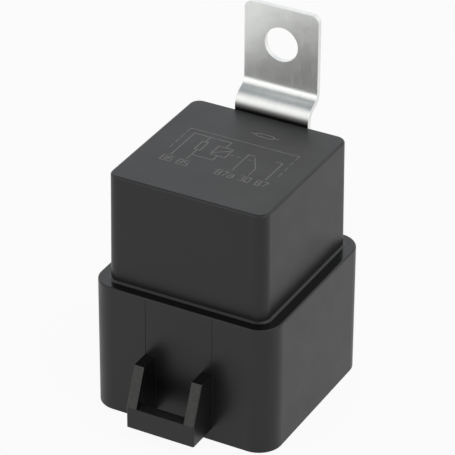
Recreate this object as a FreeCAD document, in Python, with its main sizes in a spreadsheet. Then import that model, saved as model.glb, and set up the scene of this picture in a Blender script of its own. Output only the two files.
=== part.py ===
import FreeCAD, Part
import math
import os
import Sketcher

# Automotive relay with a skirted housing, a latch loop and a steel mounting bracket.
# Millimetres. X runs along the latch face, the latch stands out towards -Y, Z is up,
# and the origin is the centre of the skirt's lower rim.

SIZES = [
    # Housing: skirt, ledge and cover in one moulding
    ("ledge_side", 2.2, "width of the ledge beside the cover"),
    ("ledge_front", 1.9, "width of the ledge before and behind the cover"),
    ("skirt_height", 23.2, "lower rim to the ledge's top"),
    ("skirt_corner", 4.05, "outer corner radius of the skirt"),
    ("skirt_wall", 1.5, "wall of the skirt"),
    ("ledge_thick", 1.6, "thickness of the ledge"),
    ("ledge_round", 0.3, "rounding of the skirt's upper edge"),
    ("rim_lead", 0.5, "lead-in chamfer inside the lower rim"),
    ("cover_width", 28.0, "cover across at its top, left to right"),
    ("cover_depth", 28.6, "cover across at its top, front to back"),
    ("cover_top", 42.5, "lower rim to the cover's top"),
    ("cover_draft", 0.2, "growth of each cover side from top to ledge"),
    ("cover_corner", 1.8, "corner radius of the cover"),
    ("cover_edge", 0.4, "rounding of the cover's upper edge"),
    ("cover_foot", 0.3, "bevel where the cover meets the ledge"),
    ("cover_wall", 1.2, "side wall of the cover"),
    ("cover_inside", 0.8, "corner radius inside the cover"),
    ("cover_roof", 1.5, "roof of the cover"),
    # Latch loop on the front of the skirt
    ("latch_width", 12.2, "latch across, outside the arms"),
    ("arm_thick", 1.8, "thickness of each arm"),
    ("arm_top", 12.7, "height of the arms' upper faces"),
    ("arm_reach", 3.55, "reach of the arms' upper faces from the skirt"),
    ("bar_reach", 6.25, "reach of the cross bar's face from the skirt"),
    ("bar_top", 6.2, "height of the cross bar's upper face"),
    ("bar_bottom", 2.4, "height of the cross bar's underside"),
    ("bar_thick", 1.95, "thickness of the cross bar"),
    ("latch_round", 0.25, "rounding of the latch's outer edges"),
    ("witness_width", 0.2, "width of the tool's witness lines"),
    ("witness_deep", 0.06, "depth of the witness lines"),
    ("witness_stop", 0.35, "ledge's top to the upper end of the witness lines"),
    # Pocket that holds the bracket on the cover's back
    ("sleeve_width", 17.0, "bracket pocket across, outside"),
    ("mouth_drop", 4.5, "cover's top to the bracket pocket's mouth"),
    ("sleeve_inset", 0.4, "skirt's back face to the pocket's outer face"),
    ("sleeve_round", 0.6, "rounding of the pocket's outer edges"),
    ("floor_rise", 1.8, "ledge's top to the pocket's floor"),
    ("slot_gap", 0.03, "clearance of the strap in its pocket"),
    ("window_width", 5.0, "window for the barb, across"),
    ("window_rise", 4.0, "pocket's floor to the window's lower edge"),
    ("window_height", 4.2, "height of the window"),
    # Mounting bracket, bent from sheet
    ("strap_width", 13.3, "bracket across"),
    ("strap_thick", 0.9, "sheet thickness of the bracket"),
    ("strap_lift", 0.3, "pocket's floor to the strap's end"),
    ("strap_clear", 2.2, "cover's top to where the strap starts its joggle"),
    ("joggle", 3.14, "set-back of the tab behind the strap"),
    ("joggle_angle", 25.0, "rise of the joggle, degrees from level"),
    ("roll_radius", 1.9, "inside radius of the strap's bend"),
    ("bend_radius", 1.5, "inside radius of the tab's bend"),
    ("tab_margin", 6.5, "fixing hole's centre to the tab's upper edge"),
    ("tab_corner", 1.3, "corner radius of the tab"),
    ("bolt_radius", 3.0, "radius of the fixing hole"),
    ("bolt_rise", 8.14, "joggle to the fixing hole's centre"),
    ("barb_width", 3.4, "barb across"),
    ("barb_rise", 4.7, "pocket's floor to the barb's root"),
    ("barb_root", 0.2, "overlap of the barb with the strap at its root"),
    ("barb_length", 3.0, "height of the barb"),
    ("barb_out", 0.8, "how far the barb's tip stands out"),
    ("barb_gap", 0.3, "slit around the barb"),
    # Base plate and sealing resin
    ("base_flange", 1.9, "base plate's thickness under the ledge"),
    ("base_floor", 1.8, "base plate's rise above the ledge's underside"),
    ("base_gap", 0.08, "clearance of the base plate in the housing"),
    ("blade_gap", 0.04, "clearance of the blades in the base plate"),
    ("resin_deep", 2.0, "depth of the resin"),
    # Blades
    ("blade_tip", 6.5, "height of the blades' tips"),
    ("blade_width", 6.3, "width of each blade"),
    ("blade_thick", 0.8, "thickness of each blade"),
    ("blade_lead", 0.25, "lead-in chamfer on the blades' faces"),
    ("blade_nose", 1.0, "lead-in chamfer on the blades' corners"),
    ("centre_y", 1.0, "place of the centre blade"),
    ("make_pitch", 8.0, "centre blade to the make blade"),
    ("common_pitch", 9.7, "centre blade to the common blade"),
    ("coil_pitch", 8.4, "centre blade to each coil blade"),
    ("blade_overlap", 2.0, "blade standing above the base beside its carrier"),
    ("tenon_width", 2.0, "tenon of the common blade"),
    ("shoulder_rise", 1.0, "coil blade's full width above the base"),
    ("post_rise", 4.0, "top of the coil blade's post above the base"),
    ("post_inset", 5.3, "coil blade's edge to the near edge of its post"),
    ("post_past", 0.6, "coil blade's post past the resistor's axis"),
    # Magnet
    ("coil_air", 0.3, "air between the bobbin and the yoke's leg"),
    ("yoke_air", 1.3, "air between the cover's wall and the yoke's leg"),
    ("headroom", 5.1, "cover's roof to the yoke's hinge edge and the pole face"),
    ("yoke_thick", 1.5, "plate of the yoke"),
    ("yoke_width", 13.0, "yoke across"),
    ("yoke_foot", 13.4, "length of the yoke's foot"),
    ("yoke_round", 0.3, "inside radius of the yoke's bend"),
    ("core_radius", 3.5, "radius of the core"),
    ("tenon_radius", 2.5, "radius of the core's riveted end"),
    ("pole_radius", 5.0, "radius of the pole face"),
    ("pole_thick", 1.15, "thickness of the pole"),
    ("bobbin_gap", 0.05, "clearance of the core in the bobbin"),
    ("bobbin_wall", 0.75, "wall of the bobbin's tube"),
    ("flange_thick", 0.8, "thickness of the bobbin's flanges"),
    ("winding_inset", 0.4, "flange's edge to the winding"),
    ("wire_radius", 0.15, "radius of the winding's wire"),
    ("wire_rise", 0.9, "lower flange to the wire's start at the winding"),
    ("wire_exit", 38.0, "angle at which the wire leaves the winding"),
    ("wire_gap", 0.02, "solder gap at the wire's ends"),
    # Armature and its spring
    ("hinge_gap", 0.04, "air between the armature and its hinge edge"),
    ("armature_lift", 2.6, "angle of the armature when the coil is off"),
    ("armature_thick", 1.2, "plate of the armature"),
    ("armature_width", 12.0, "armature across at its hinge"),
    ("armature_nose", 8.5, "armature across at its free end"),
    ("armature_start", 0.25, "hinge edge to the armature's near end"),
    ("armature_shoulder", 10.1, "hinge edge to where the armature starts to narrow"),
    ("armature_short", 4.0, "armature's free end to the contacts' axis"),
    ("armature_corner", 0.8, "corner radius of the armature"),
    ("leaf_thick", 0.4, "thickness of the contact leaf"),
    ("leaf_width", 7.0, "contact leaf across on the armature"),
    ("leaf_nose", 4.6, "contact leaf across at its contact"),
    ("leaf_start", 6.2, "hinge edge to the leaf's near end"),
    ("leaf_taper", 8.3, "contacts' axis to where the leaf starts to narrow"),
    ("leaf_slim", 4.15, "contacts' axis to where the leaf has its least width"),
    ("leaf_corner", 1.2, "radius of the leaf's free corners"),
    ("rivet_radius", 0.7, "radius of the armature's rivets"),
    ("rivet_head", 1.2, "radius of the armature's rivet heads"),
    ("rivet_high", 0.4, "height of the armature's rivet heads"),
    ("rivet_place", 9.5, "hinge edge to the armature's rivets"),
    ("rivet_side", 2.2, "middle to each rivet of the armature"),
    ("spring_thick", 0.3, "sheet of the hinge spring"),
    ("spring_width", 8.0, "hinge spring across"),
    ("spring_rise", 3.4, "base plate to the hinge spring's lower end"),
    ("spring_arm", 4.5, "reach of the hinge spring over the armature"),
    ("spring_air", 0.32, "air under the hinge spring's arm"),
    ("spring_bend", 0.5, "inside radius of the hinge spring's bend"),
    ("stud_radius", 0.8, "radius of the hinge spring's rivets"),
    ("stud_head", 1.4, "radius of their heads"),
    ("stud_high", 0.5, "height of their heads"),
    ("stud_rise", 6.0, "base plate to their axes"),
    ("stud_side", 2.3, "middle to each of these rivets"),
    # Contacts and their carriers
    ("contact_air", 2.6, "cover's back wall to the contacts' axis"),
    ("contact_radius", 1.7, "radius of the contacts"),
    ("contact_shank", 0.8, "radius of the contacts' shanks"),
    ("contact_bevel", 0.25, "bevel of the contacts' edges"),
    ("moving_low", 0.8, "height of the moving contact under its leaf"),
    ("moving_high", 0.6, "height of the moving contact over its leaf"),
    ("fixed_high", 0.6, "height of the fixed contacts"),
    ("contact_gap", 0.03, "air left where contacts meet"),
    ("carrier_thick", 0.8, "sheet of the contact carriers"),
    ("carrier_bend", 0.4, "inside radius of the carriers' bends"),
    ("carrier_reach", 1.9, "carriers' reach past the contacts' axis"),
    ("arm_over", 2.3, "break carrier's arm past the middle"),
    ("run_near", 5.0, "near edge of the break carrier's run"),
    ("run_width", 2.4, "width of the break carrier's run and riser"),
    ("run_sink", 0.7, "base plate's top to the break carrier's run"),
    ("riser_side", 10.2, "outer face of the break carrier's riser"),
    # Resistor across the coil
    ("resistor_air", 0.35, "air on both sides of the resistor"),
    ("resistor_rise", 2.6, "base plate to the resistor's axis"),
    ("resistor_length", 6.4, "length of the resistor's body"),
    ("resistor_radius", 1.15, "radius of the resistor's end caps"),
    ("resistor_waist", 0.95, "radius of the resistor between its caps"),
    ("resistor_cap", 1.5, "length of each end cap"),
    ("lead_radius", 0.3, "radius of the resistor's leads"),
    ("overcut", 1.0, "how far a cutter starts or ends outside what it cuts"),
]

doc = FreeCAD.newDocument("relay")
sheet = doc.addObject("Spreadsheet::Sheet", "sizes")
for row, (alias, number, note) in enumerate(SIZES, start=1):
    sheet.set("A%d" % row, note)
    sheet.set("B%d" % row, str(number))
    sheet.setAlias("B%d" % row, alias)
doc.recompute()

# Levels and places that follow from the sizes, as expressions on the sheet
HALF_WIDTH = "(sizes.cover_width / 2 + sizes.cover_draft + sizes.ledge_side)"
HALF_DEPTH = "(sizes.cover_depth / 2 + sizes.cover_draft + sizes.ledge_front)"
LEDGE_UNDER = "(sizes.skirt_height - sizes.ledge_thick)"
ROOF_UNDER = "(sizes.cover_top - sizes.cover_roof)"
INNER_CORNER = "(sizes.skirt_corner - sizes.skirt_wall)"
COVER_SIDE = "(sizes.cover_width / 2)"
COVER_BACK = "(sizes.cover_depth / 2)"
COVER_HEIGHT = "(sizes.cover_top - sizes.skirt_height)"
POCKET_WALL = f"({COVER_BACK} + sizes.cover_draft * sizes.mouth_drop / {COVER_HEIGHT})"
SLEEVE_TOP = "(sizes.cover_top - sizes.mouth_drop)"
SLOT_FLOOR = "(sizes.skirt_height + sizes.floor_rise)"
WINDOW_LOW = f"({SLOT_FLOOR} + sizes.window_rise)"
BARB_LOW = f"({SLOT_FLOOR} + sizes.barb_rise)"
SLEEVE_BACK = f"({HALF_DEPTH} - sizes.sleeve_inset)"
STRAP_FRONT = f"({POCKET_WALL} + sizes.slot_gap)"
STRAP_BACK = f"({STRAP_FRONT} + sizes.strap_thick)"
TAB_FRONT = f"({STRAP_FRONT} + sizes.joggle)"
TAB_BACK = f"({TAB_FRONT} + sizes.strap_thick)"
JOGGLE_RISE = "(sizes.joggle * tan(sizes.joggle_angle))"
BEND_SHIFT = "(sizes.strap_thick * (1 - sin(sizes.joggle_angle)) / cos(sizes.joggle_angle))"
STRAP_BEND = "(sizes.cover_top + sizes.strap_clear)"
TAB_BEND = f"({STRAP_BEND} + {JOGGLE_RISE})"
BOLT_HEIGHT = f"({TAB_BEND} + sizes.bolt_rise)"
TAB_TOP = f"({BOLT_HEIGHT} + sizes.tab_margin)"
BASE_UNDER = f"({LEDGE_UNDER} - sizes.base_flange)"
BASE_TOP = f"({LEDGE_UNDER} + sizes.base_floor)"
RESIN_UNDER = f"({BASE_UNDER} - sizes.resin_deep)"
MAKE_Y = "(sizes.centre_y + sizes.make_pitch)"
COMMON_Y = "(sizes.centre_y - sizes.common_pitch)"
RESISTOR_Y = (
    f"({MAKE_Y} - sizes.blade_thick / 2 - sizes.carrier_thick"
    " - sizes.resistor_air - sizes.resistor_radius)"
)
YOKE_BACK = "(sizes.cover_depth / 2 - sizes.cover_wall - sizes.yoke_air)"
YOKE_TOP = f"({ROOF_UNDER} - sizes.headroom)"
FOOT_TOP = f"({BASE_TOP} + sizes.yoke_thick)"
POLE_UNDER = f"({YOKE_TOP} - sizes.pole_thick)"
COIL_NEAR = f"(sizes.yoke_thick + sizes.coil_air - {YOKE_BACK})"
COIL_FAR = f"({RESISTOR_Y} - sizes.resistor_radius - sizes.resistor_air)"
COIL_Y = f"(({COIL_NEAR} + {COIL_FAR}) / 2)"
FLANGE_HALF = f"(({COIL_FAR} - {COIL_NEAR}) / 2)"
WINDING_RADIUS = f"({FLANGE_HALF} - sizes.winding_inset)"
BOBBIN_BORE = "(sizes.core_radius + sizes.bobbin_gap)"
BOBBIN_TUBE = f"({BOBBIN_BORE} + sizes.bobbin_wall)"
LEAF_UNDER = "(sizes.hinge_gap + sizes.armature_thick)"
LEAF_TOP = f"({LEAF_UNDER} + sizes.leaf_thick)"
CONTACT_Y = "(sizes.cover_depth / 2 - sizes.cover_wall - sizes.contact_air)"
CONTACT_ARM = f"({CONTACT_Y} + {YOKE_BACK})"
ARMATURE_END = f"({CONTACT_ARM} - sizes.armature_short)"
MAKE_FACE = f"({YOKE_TOP} + {LEAF_UNDER} - sizes.moving_low - sizes.contact_gap)"
MAKE_SEAT = f"({MAKE_FACE} - sizes.fixed_high)"
BREAK_FACE = (
    f"({YOKE_TOP} + ({LEAF_TOP} + sizes.moving_high) * cos(sizes.armature_lift)"
    f" + ({CONTACT_ARM} + sizes.contact_radius) * sin(sizes.armature_lift) + sizes.contact_gap)"
)
BREAK_SEAT = f"({BREAK_FACE} + sizes.fixed_high)"
CARRIER_END = f"({CONTACT_Y} + sizes.carrier_reach)"
RUN_TOP = f"({BASE_TOP} - sizes.run_sink)"
POST_FACE = "(sizes.coil_pitch - sizes.blade_thick / 2 - sizes.wire_gap)"
RESISTOR_HEIGHT = f"({BASE_TOP} + sizes.resistor_rise)"
STUD_HEIGHT = f"({BASE_TOP} + sizes.stud_rise)"


def size(expression):
    """Return the present number of an expression on the sheet."""
    return float(sheet.evalExpression(expression))


def new_body(name):
    """Add an empty body whose label names its file."""
    body = doc.addObject("PartDesign::Body", name)
    body.Label = name
    return body


def new_sketch(body, name, plane, start):
    """Attach a sketch to an origin plane of its body, moved along the positive axis by start."""
    sketch = body.newObject("Sketcher::SketchObject", name)
    support = next(item for item in body.Origin.OriginFeatures if item.Role == plane)
    sketch.AttachmentSupport = (support, [""])
    sketch.MapMode = "FlatFace"
    offset = f"-({start})" if plane == "XZ_Plane" else start
    sketch.setExpression("AttachmentOffset.Base.z", offset)
    return sketch


def bind(sketch, kind, item, end, expression):
    """Tie one measure of a sketch point or curve to an expression."""
    if kind == "Radius":
        constraint = Sketcher.Constraint(kind, item, size(expression))
    else:
        constraint = Sketcher.Constraint(kind, -1, 1, item, end, size(expression))
    place = sketch.addConstraint(constraint)
    sketch.setExpression(f"Constraints[{place}]", expression)


def outline(*corners):
    """Return a drawer of a closed outline through corners given as pairs of expressions."""
    def draw(sketch):
        first = sketch.GeometryCount
        count = len(corners)
        points = [FreeCAD.Vector(size(across), size(up), 0) for across, up in corners]
        for index, point in enumerate(points):
            sketch.addGeometry(Part.LineSegment(point, points[(index + 1) % count]), False)
        for index, (across, up) in enumerate(corners):
            following = first + (index + 1) % count
            sketch.addConstraint(Sketcher.Constraint("Coincident", first + index, 2, following, 1))
            bind(sketch, "DistanceX", first + index, 1, across)
            bind(sketch, "DistanceY", first + index, 1, up)
    return draw


def rectangle(left, right, low, high):
    """Return a drawer of a rectangle."""
    return outline((left, low), (right, low), (right, high), (left, high))


def rounded(side, front, radius):
    """Return a drawer of a rectangle of half sizes side and front with rounded corners."""
    def draw(sketch):
        x, y, r = size(side), size(front), size(radius)
        ends = [
            (x - r, -y, x, -y + r),
            (x, y - r, x - r, y),
            (-x + r, y, -x, y - r),
            (-x, -y + r, -x + r, -y),
        ]
        for index in range(4):
            x0, y0, x1, y1 = ends[index]
            x2, y2 = ends[(index + 1) % 4][:2]
            centre = FreeCAD.Vector(math.copysign(x - r, x0), math.copysign(y - r, y0), 0)
            circle = Part.Circle(centre, FreeCAD.Vector(0, 0, 1), r)
            begin = math.atan2(y0 - centre.y, x0 - centre.x)
            sketch.addGeometry(Part.ArcOfCircle(circle, begin, begin + math.pi / 2), False)
            line = Part.LineSegment(FreeCAD.Vector(x1, y1, 0), FreeCAD.Vector(x2, y2, 0))
            sketch.addGeometry(line, False)
        for index in range(8):
            sketch.addConstraint(Sketcher.Constraint("Tangent", index, 2, (index + 1) % 8, 1))
        for index in (1, 5):
            sketch.addConstraint(Sketcher.Constraint("Vertical", index))
        for index in (3, 7):
            sketch.addConstraint(Sketcher.Constraint("Horizontal", index))
        for index in (2, 4, 6):
            sketch.addConstraint(Sketcher.Constraint("Equal", 0, index))
        bind(sketch, "Radius", 0, None, radius)
        bind(sketch, "DistanceX", 1, 1, side)
        bind(sketch, "DistanceX", 5, 1, f"-{side}")
        bind(sketch, "DistanceY", 3, 1, front)
        bind(sketch, "DistanceY", 7, 1, f"-{front}")
    return draw


def circles(radius, *centres):
    """Return a drawer of equal circles about centres given as pairs of expressions."""
    def draw(sketch):
        for across, up in centres:
            middle = FreeCAD.Vector(size(across), size(up), 0)
            circle = Part.Circle(middle, FreeCAD.Vector(0, 0, 1), size(radius))
            item = sketch.addGeometry(circle, False)
            bind(sketch, "Radius", item, None, radius)
            bind(sketch, "DistanceX", item, 3, across)
            bind(sketch, "DistanceY", item, 3, up)
    return draw


def pair_of_circles(radius, side, up):
    """Return a drawer of two equal circles at one distance on each side of the middle."""
    return circles(radius, (f"-{side}", up), (side, up))


def settle(body, feature, before, sign):
    """Recompute, and stop if the feature didn't add or remove material as it should."""
    doc.recompute()
    if feature.Shape.isNull() or (feature.Shape.Volume - before) * sign <= 0:
        raise ValueError(f"{feature.Label} of {body.Label} leaves the volume as it was")


def volume(body):
    """Return the body's volume so far."""
    return 0.0 if body.Tip is None or body.Shape.isNull() else body.Shape.Volume


def pad(body, name, plane, start, length, draw):
    """Add material from start over length, along the positive axis across the plane."""
    before = volume(body)
    sketch = new_sketch(body, name + "_sketch", plane, start)
    draw(sketch)
    feature = body.newObject("PartDesign::Pad", name)
    feature.Profile = sketch
    feature.setExpression("Length", length)
    feature.Reversed = plane == "XZ_Plane"
    settle(body, feature, before, 1)
    return feature


def pocket(body, name, plane, start, length, draw):
    """Remove material from start over length, along the positive axis across the plane."""
    before = volume(body)
    sketch = new_sketch(body, name + "_sketch", plane, start)
    draw(sketch)
    feature = body.newObject("PartDesign::Pocket", name)
    feature.Profile = sketch
    feature.setExpression("Length", length)
    feature.Reversed = plane != "XZ_Plane"
    settle(body, feature, before, -1)
    return feature


def draft(body, name, angle, chosen, neutral):
    """Lean the chosen faces outwards, downwards from a neutral face."""
    before = volume(body)
    base = body.Tip
    faces = list(enumerate(base.Shape.Faces, start=1))
    feature = body.newObject("PartDesign::Draft", name)
    feature.Base = (base, [f"Face{i}" for i, face in faces if chosen(face)])
    feature.NeutralPlane = (base, [f"Face{i}" for i, face in faces if neutral(face)])
    feature.setExpression("Angle", angle)
    settle(body, feature, before, 1)
    return feature


def revolve(body, name, draw):
    """Turn an outline of radius and height about the body's vertical axis."""
    sketch = new_sketch(body, name + "_sketch", "XZ_Plane", "0")
    draw(sketch)
    feature = body.newObject("PartDesign::Revolution", name)
    feature.Profile = sketch
    feature.ReferenceAxis = (sketch, ["V_Axis"])
    feature.Angle = 360
    settle(body, feature, 0.0, 1)
    return feature


def soften(body, name, kind, amount, chosen):
    """Fillet or chamfer the edges of the body that the test chosen picks."""
    base = body.Tip
    names = [f"Edge{i}" for i, edge in enumerate(base.Shape.Edges, start=1) if chosen(edge)]
    feature = body.newObject("PartDesign::" + kind, name)
    feature.Base = (base, names)
    feature.setExpression("Radius" if kind == "Fillet" else "Size", amount)
    doc.recompute()
    return feature


def near(a, b):
    """Say whether two lengths are the same to a thousandth of a millimetre."""
    return abs(a - b) < 0.001


def spans(edge, axis):
    """Say whether an edge runs along one axis only."""
    box = edge.BoundBox
    extents = {"x": box.XLength, "y": box.YLength, "z": box.ZLength}
    return all((extent > 0.01) == (name == axis) for name, extent in extents.items())


def level(edge, height):
    """Say whether an edge lies at one height."""
    return near(edge.BoundBox.ZMin, size(height)) and near(edge.BoundBox.ZMax, size(height))


def flat_at(face, height):
    """Say whether a face lies at one height."""
    return near(face.BoundBox.ZMin, size(height)) and near(face.BoundBox.ZMax, size(height))


def along_bend(axis, *corners):
    """Return a test for edges along X or Y that pass through pairs of place and height."""
    def chosen(edge):
        box = edge.BoundBox
        across = box.YMin if axis == "x" else box.XMin
        return spans(edge, axis) and any(
            near(across, size(place)) and near(box.ZMin, size(up)) for place, up in corners
        )
    return chosen


def reach(edge):
    """Return how far an edge reaches from the vertical axis, along X or Y."""
    box = edge.BoundBox
    return max(box.XMax, -box.XMin, box.YMax, -box.YMin)


def place(body, across="0", along="0", height="0"):
    """Put a body at a place given by expressions."""
    body.setExpression("Placement.Base.x", across)
    body.setExpression("Placement.Base.y", along)
    body.setExpression("Placement.Base.z", height)


def turn(body, axis, angle):
    """Turn a body about an axis through its origin by an angle given as an expression."""
    body.Placement = FreeCAD.Placement(FreeCAD.Vector(), FreeCAD.Rotation(FreeCAD.Vector(*axis), 1))
    body.setExpression("Placement.Rotation.Angle", angle)


def hang_on_hinge(body):
    """Put a body drawn about the hinge edge at its lifted place."""
    turn(body, (1, 0, 0), "sizes.armature_lift")
    place(body, "0", f"-{YOKE_BACK}", YOKE_TOP)


def make_housing():
    """Skirt, ledge, cover, latch loop and bracket pocket, moulded as one piece."""
    body = new_body("housing")
    tall = f"sizes.cover_top - {LEDGE_UNDER}"
    cover = rounded(COVER_SIDE, COVER_BACK, "sizes.cover_corner")
    pad(body, "cover", "XY_Plane", LEDGE_UNDER, tall, cover)

    def upright(face):
        return near(face.BoundBox.ZLength, size(tall))

    def top(face):
        return flat_at(face, "sizes.cover_top")
    draft(body, "cover_draft", f"atan(sizes.cover_draft / {COVER_HEIGHT})", upright, top)

    def top_edge(edge):
        return level(edge, "sizes.cover_top")
    soften(body, "cover_edge", "Fillet", "sizes.cover_edge", top_edge)
    skirt = rounded(HALF_WIDTH, HALF_DEPTH, "sizes.skirt_corner")
    pad(body, "skirt", "XY_Plane", "0", "sizes.skirt_height", skirt)

    def at_rim(edge):
        outside = reach(edge) > size(f"{HALF_DEPTH} - sizes.ledge_front / 2")
        return level(edge, "sizes.skirt_height") and outside

    def at_foot(edge):
        return level(edge, "sizes.skirt_height") and not at_rim(edge)
    soften(body, "cover_foot", "Chamfer", "sizes.cover_foot", at_foot)
    soften(body, "skirt_edge", "Fillet", "sizes.ledge_round", at_rim)
    cut_hollow(body)
    add_latch(body)
    add_bracket_pocket(body)
    return body


def cut_hollow(body):
    """The open skirt below the ledge and the hollow of the cover."""
    side = f"({HALF_WIDTH} - sizes.skirt_wall)"
    front = f"({HALF_DEPTH} - sizes.skirt_wall)"
    pocket(body, "skirt_hollow", "XY_Plane", "0", LEDGE_UNDER, rounded(side, front, INNER_CORNER))
    inner_side = f"({COVER_SIDE} - sizes.cover_wall)"
    inner_back = f"({COVER_BACK} - sizes.cover_wall)"
    deep = f"{ROOF_UNDER} - {LEDGE_UNDER}"
    inner = rounded(inner_side, inner_back, "sizes.cover_inside")
    pocket(body, "cover_hollow", "XY_Plane", LEDGE_UNDER, deep, inner)

    def inner_rim(edge):
        return level(edge, "0") and reach(edge) < size(f"{HALF_DEPTH} - sizes.skirt_wall / 2")
    soften(body, "rim_lead", "Chamfer", "sizes.rim_lead", inner_rim)


def add_latch(body):
    """Two arms and a cross bar on the front of the skirt, and the witness lines above the arms."""
    root = f"(-{HALF_DEPTH} + sizes.skirt_wall / 2)"
    skin = f"(-{HALF_DEPTH})"
    knee = f"(-{HALF_DEPTH} - sizes.arm_reach)"
    face = f"(-{HALF_DEPTH} - sizes.bar_reach)"
    profile = outline(
        (root, "sizes.arm_top"),
        (root, "sizes.bar_bottom"),
        (face, "sizes.bar_bottom"),
        (face, "sizes.bar_top"),
        (knee, "sizes.arm_top"),
    )
    pad(body, "latch", "YZ_Plane", "-sizes.latch_width / 2", "sizes.latch_width", profile)
    inside = "(sizes.latch_width / 2 - sizes.arm_thick)"
    back_of_bar = f"({face} + sizes.bar_thick)"
    beyond = f"({face} - sizes.overcut)"
    above = "(sizes.arm_top + sizes.overcut)"
    below = "(sizes.bar_bottom - sizes.overcut)"
    gap = outline(
        (skin, above),
        (skin, below),
        (back_of_bar, below),
        (back_of_bar, "sizes.bar_top"),
        (beyond, "sizes.bar_top"),
        (beyond, above),
    )
    pocket(body, "latch_gap", "YZ_Plane", f"-{inside}", f"2 * {inside}", gap)

    def outer_edge(edge):
        box = edge.BoundBox
        outside = near(abs(box.XMin), size("sizes.latch_width / 2")) and near(box.XLength, 0)
        ends = level(edge, "sizes.bar_bottom") or level(edge, "sizes.arm_top")
        return outside and box.YMin < size(knee) and not ends
    soften(body, "latch_round", "Fillet", "sizes.latch_round", outer_edge)

    def line_at(side):
        middle = f"({side} * (sizes.latch_width / 2 - sizes.witness_width / 2))"
        left = f"{middle} - sizes.witness_width / 2"
        right = f"{middle} + sizes.witness_width / 2"
        return rectangle(left, right, "sizes.arm_top", "sizes.skirt_height - sizes.witness_stop")
    start = f"({skin} - sizes.overcut)"
    deep = "sizes.overcut + sizes.witness_deep"
    for name, side in (("left_witness", "-1"), ("right_witness", "1")):
        pocket(body, name, "XZ_Plane", start, deep, line_at(side))


def add_bracket_pocket(body):
    """A flat sleeve on the cover's back with a slot for the strap and a window for its barb."""
    wall = f"({COVER_BACK} - sizes.cover_wall / 2)"
    side = "sizes.sleeve_width / 2"
    block = rectangle(f"-{side}", side, wall, SLEEVE_BACK)
    low = "(sizes.skirt_height - sizes.ledge_thick / 2)"
    pad(body, "sleeve", "XY_Plane", low, f"{SLEEVE_TOP} - {low}", block)

    def outer_upright(edge):
        box = edge.BoundBox
        corner = near(box.YMin, size(SLEEVE_BACK)) and near(abs(box.XMin), size(side))
        return spans(edge, "z") and corner
    soften(body, "sleeve_round", "Fillet", "sizes.sleeve_round", outer_upright)
    opening = "(sizes.strap_width / 2 + sizes.slot_gap)"
    slot = rectangle(f"-{opening}", opening, POCKET_WALL, f"{STRAP_BACK} + sizes.slot_gap")
    pocket(body, "slot", "XY_Plane", SLOT_FLOOR, f"{SLEEVE_TOP} - {SLOT_FLOOR}", slot)
    half = "sizes.window_width / 2"
    window = rectangle(f"-{half}", half, WINDOW_LOW, f"{WINDOW_LOW} + sizes.window_height")
    pocket(body, "window", "XZ_Plane", STRAP_BACK, f"{HALF_DEPTH} - {STRAP_BACK}", window)


def make_bracket():
    """Strap, joggle and drilled tab bent from one strip, with a lanced barb."""
    body = new_body("mounting_bracket")
    low = f"({SLOT_FLOOR} + sizes.strap_lift)"
    strap_out = f"({STRAP_BEND} - {BEND_SHIFT})"
    tab_out = f"({TAB_BEND} - {BEND_SHIFT})"
    profile = outline(
        (STRAP_FRONT, low),
        (STRAP_BACK, low),
        (STRAP_BACK, strap_out),
        (TAB_BACK, tab_out),
        (TAB_BACK, TAB_TOP),
        (TAB_FRONT, TAB_TOP),
        (TAB_FRONT, TAB_BEND),
        (STRAP_FRONT, STRAP_BEND),
    )
    pad(body, "strip", "YZ_Plane", "-sizes.strap_width / 2", "sizes.strap_width", profile)
    bends = (
        ("roll", "sizes.roll_radius", (STRAP_BACK, strap_out), (STRAP_FRONT, STRAP_BEND)),
        ("bend", "sizes.bend_radius", (TAB_FRONT, TAB_BEND), (TAB_BACK, tab_out)),
    )
    for name, radius, inside, outside in bends:
        soften(body, name + "_inside", "Fillet", radius, along_bend("x", inside))
        outer_radius = f"{radius} + sizes.strap_thick"
        soften(body, name + "_outside", "Fillet", outer_radius, along_bend("x", outside))

    def tab_corner(edge):
        return spans(edge, "y") and level(edge, TAB_TOP)
    soften(body, "tab_corners", "Fillet", "sizes.tab_corner", tab_corner)
    bolt = circles("sizes.bolt_radius", ("0", BOLT_HEIGHT))
    pocket(body, "fixing_hole", "XZ_Plane", TAB_FRONT, "sizes.strap_thick", bolt)
    add_barb(body)
    return body


def add_barb(body):
    """A tongue cut free on three sides and bent out towards the pocket's window."""
    half = "(sizes.barb_width / 2 + sizes.barb_gap)"
    high = f"({BARB_LOW} + sizes.barb_length)"
    cut = rectangle(f"-{half}", half, BARB_LOW, f"{high} + sizes.barb_gap")
    pocket(body, "lance", "XZ_Plane", STRAP_FRONT, "sizes.strap_thick", cut)
    root = f"({BARB_LOW} - sizes.barb_root)"
    tongue = outline(
        (STRAP_FRONT, root),
        (STRAP_BACK, root),
        (f"{STRAP_BACK} + sizes.barb_out", high),
        (f"{STRAP_FRONT} + sizes.barb_out", high),
    )
    pad(body, "barb", "YZ_Plane", "-sizes.barb_width / 2", "sizes.barb_width", tongue)


def blade_slots(gap):
    """Return a drawer of the five places where the blades pass a plate."""
    wide = f"(sizes.blade_width / 2 + {gap})"
    thin = f"(sizes.blade_thick / 2 + {gap})"

    def draw(sketch):
        for middle in ("sizes.centre_y", MAKE_Y):
            rectangle(f"-{wide}", wide, f"{middle} - {thin}", f"{middle} + {thin}")(sketch)
        rectangle(f"-{thin}", thin, f"{COMMON_Y} - {wide}", f"{COMMON_Y} + {wide}")(sketch)
        for side in ("-1", "1"):
            left = f"{side} * sizes.coil_pitch - {thin}"
            right = f"{side} * sizes.coil_pitch + {thin}"
            rectangle(left, right, f"sizes.centre_y - {wide}", f"sizes.centre_y + {wide}")(sketch)
    return draw


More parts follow.
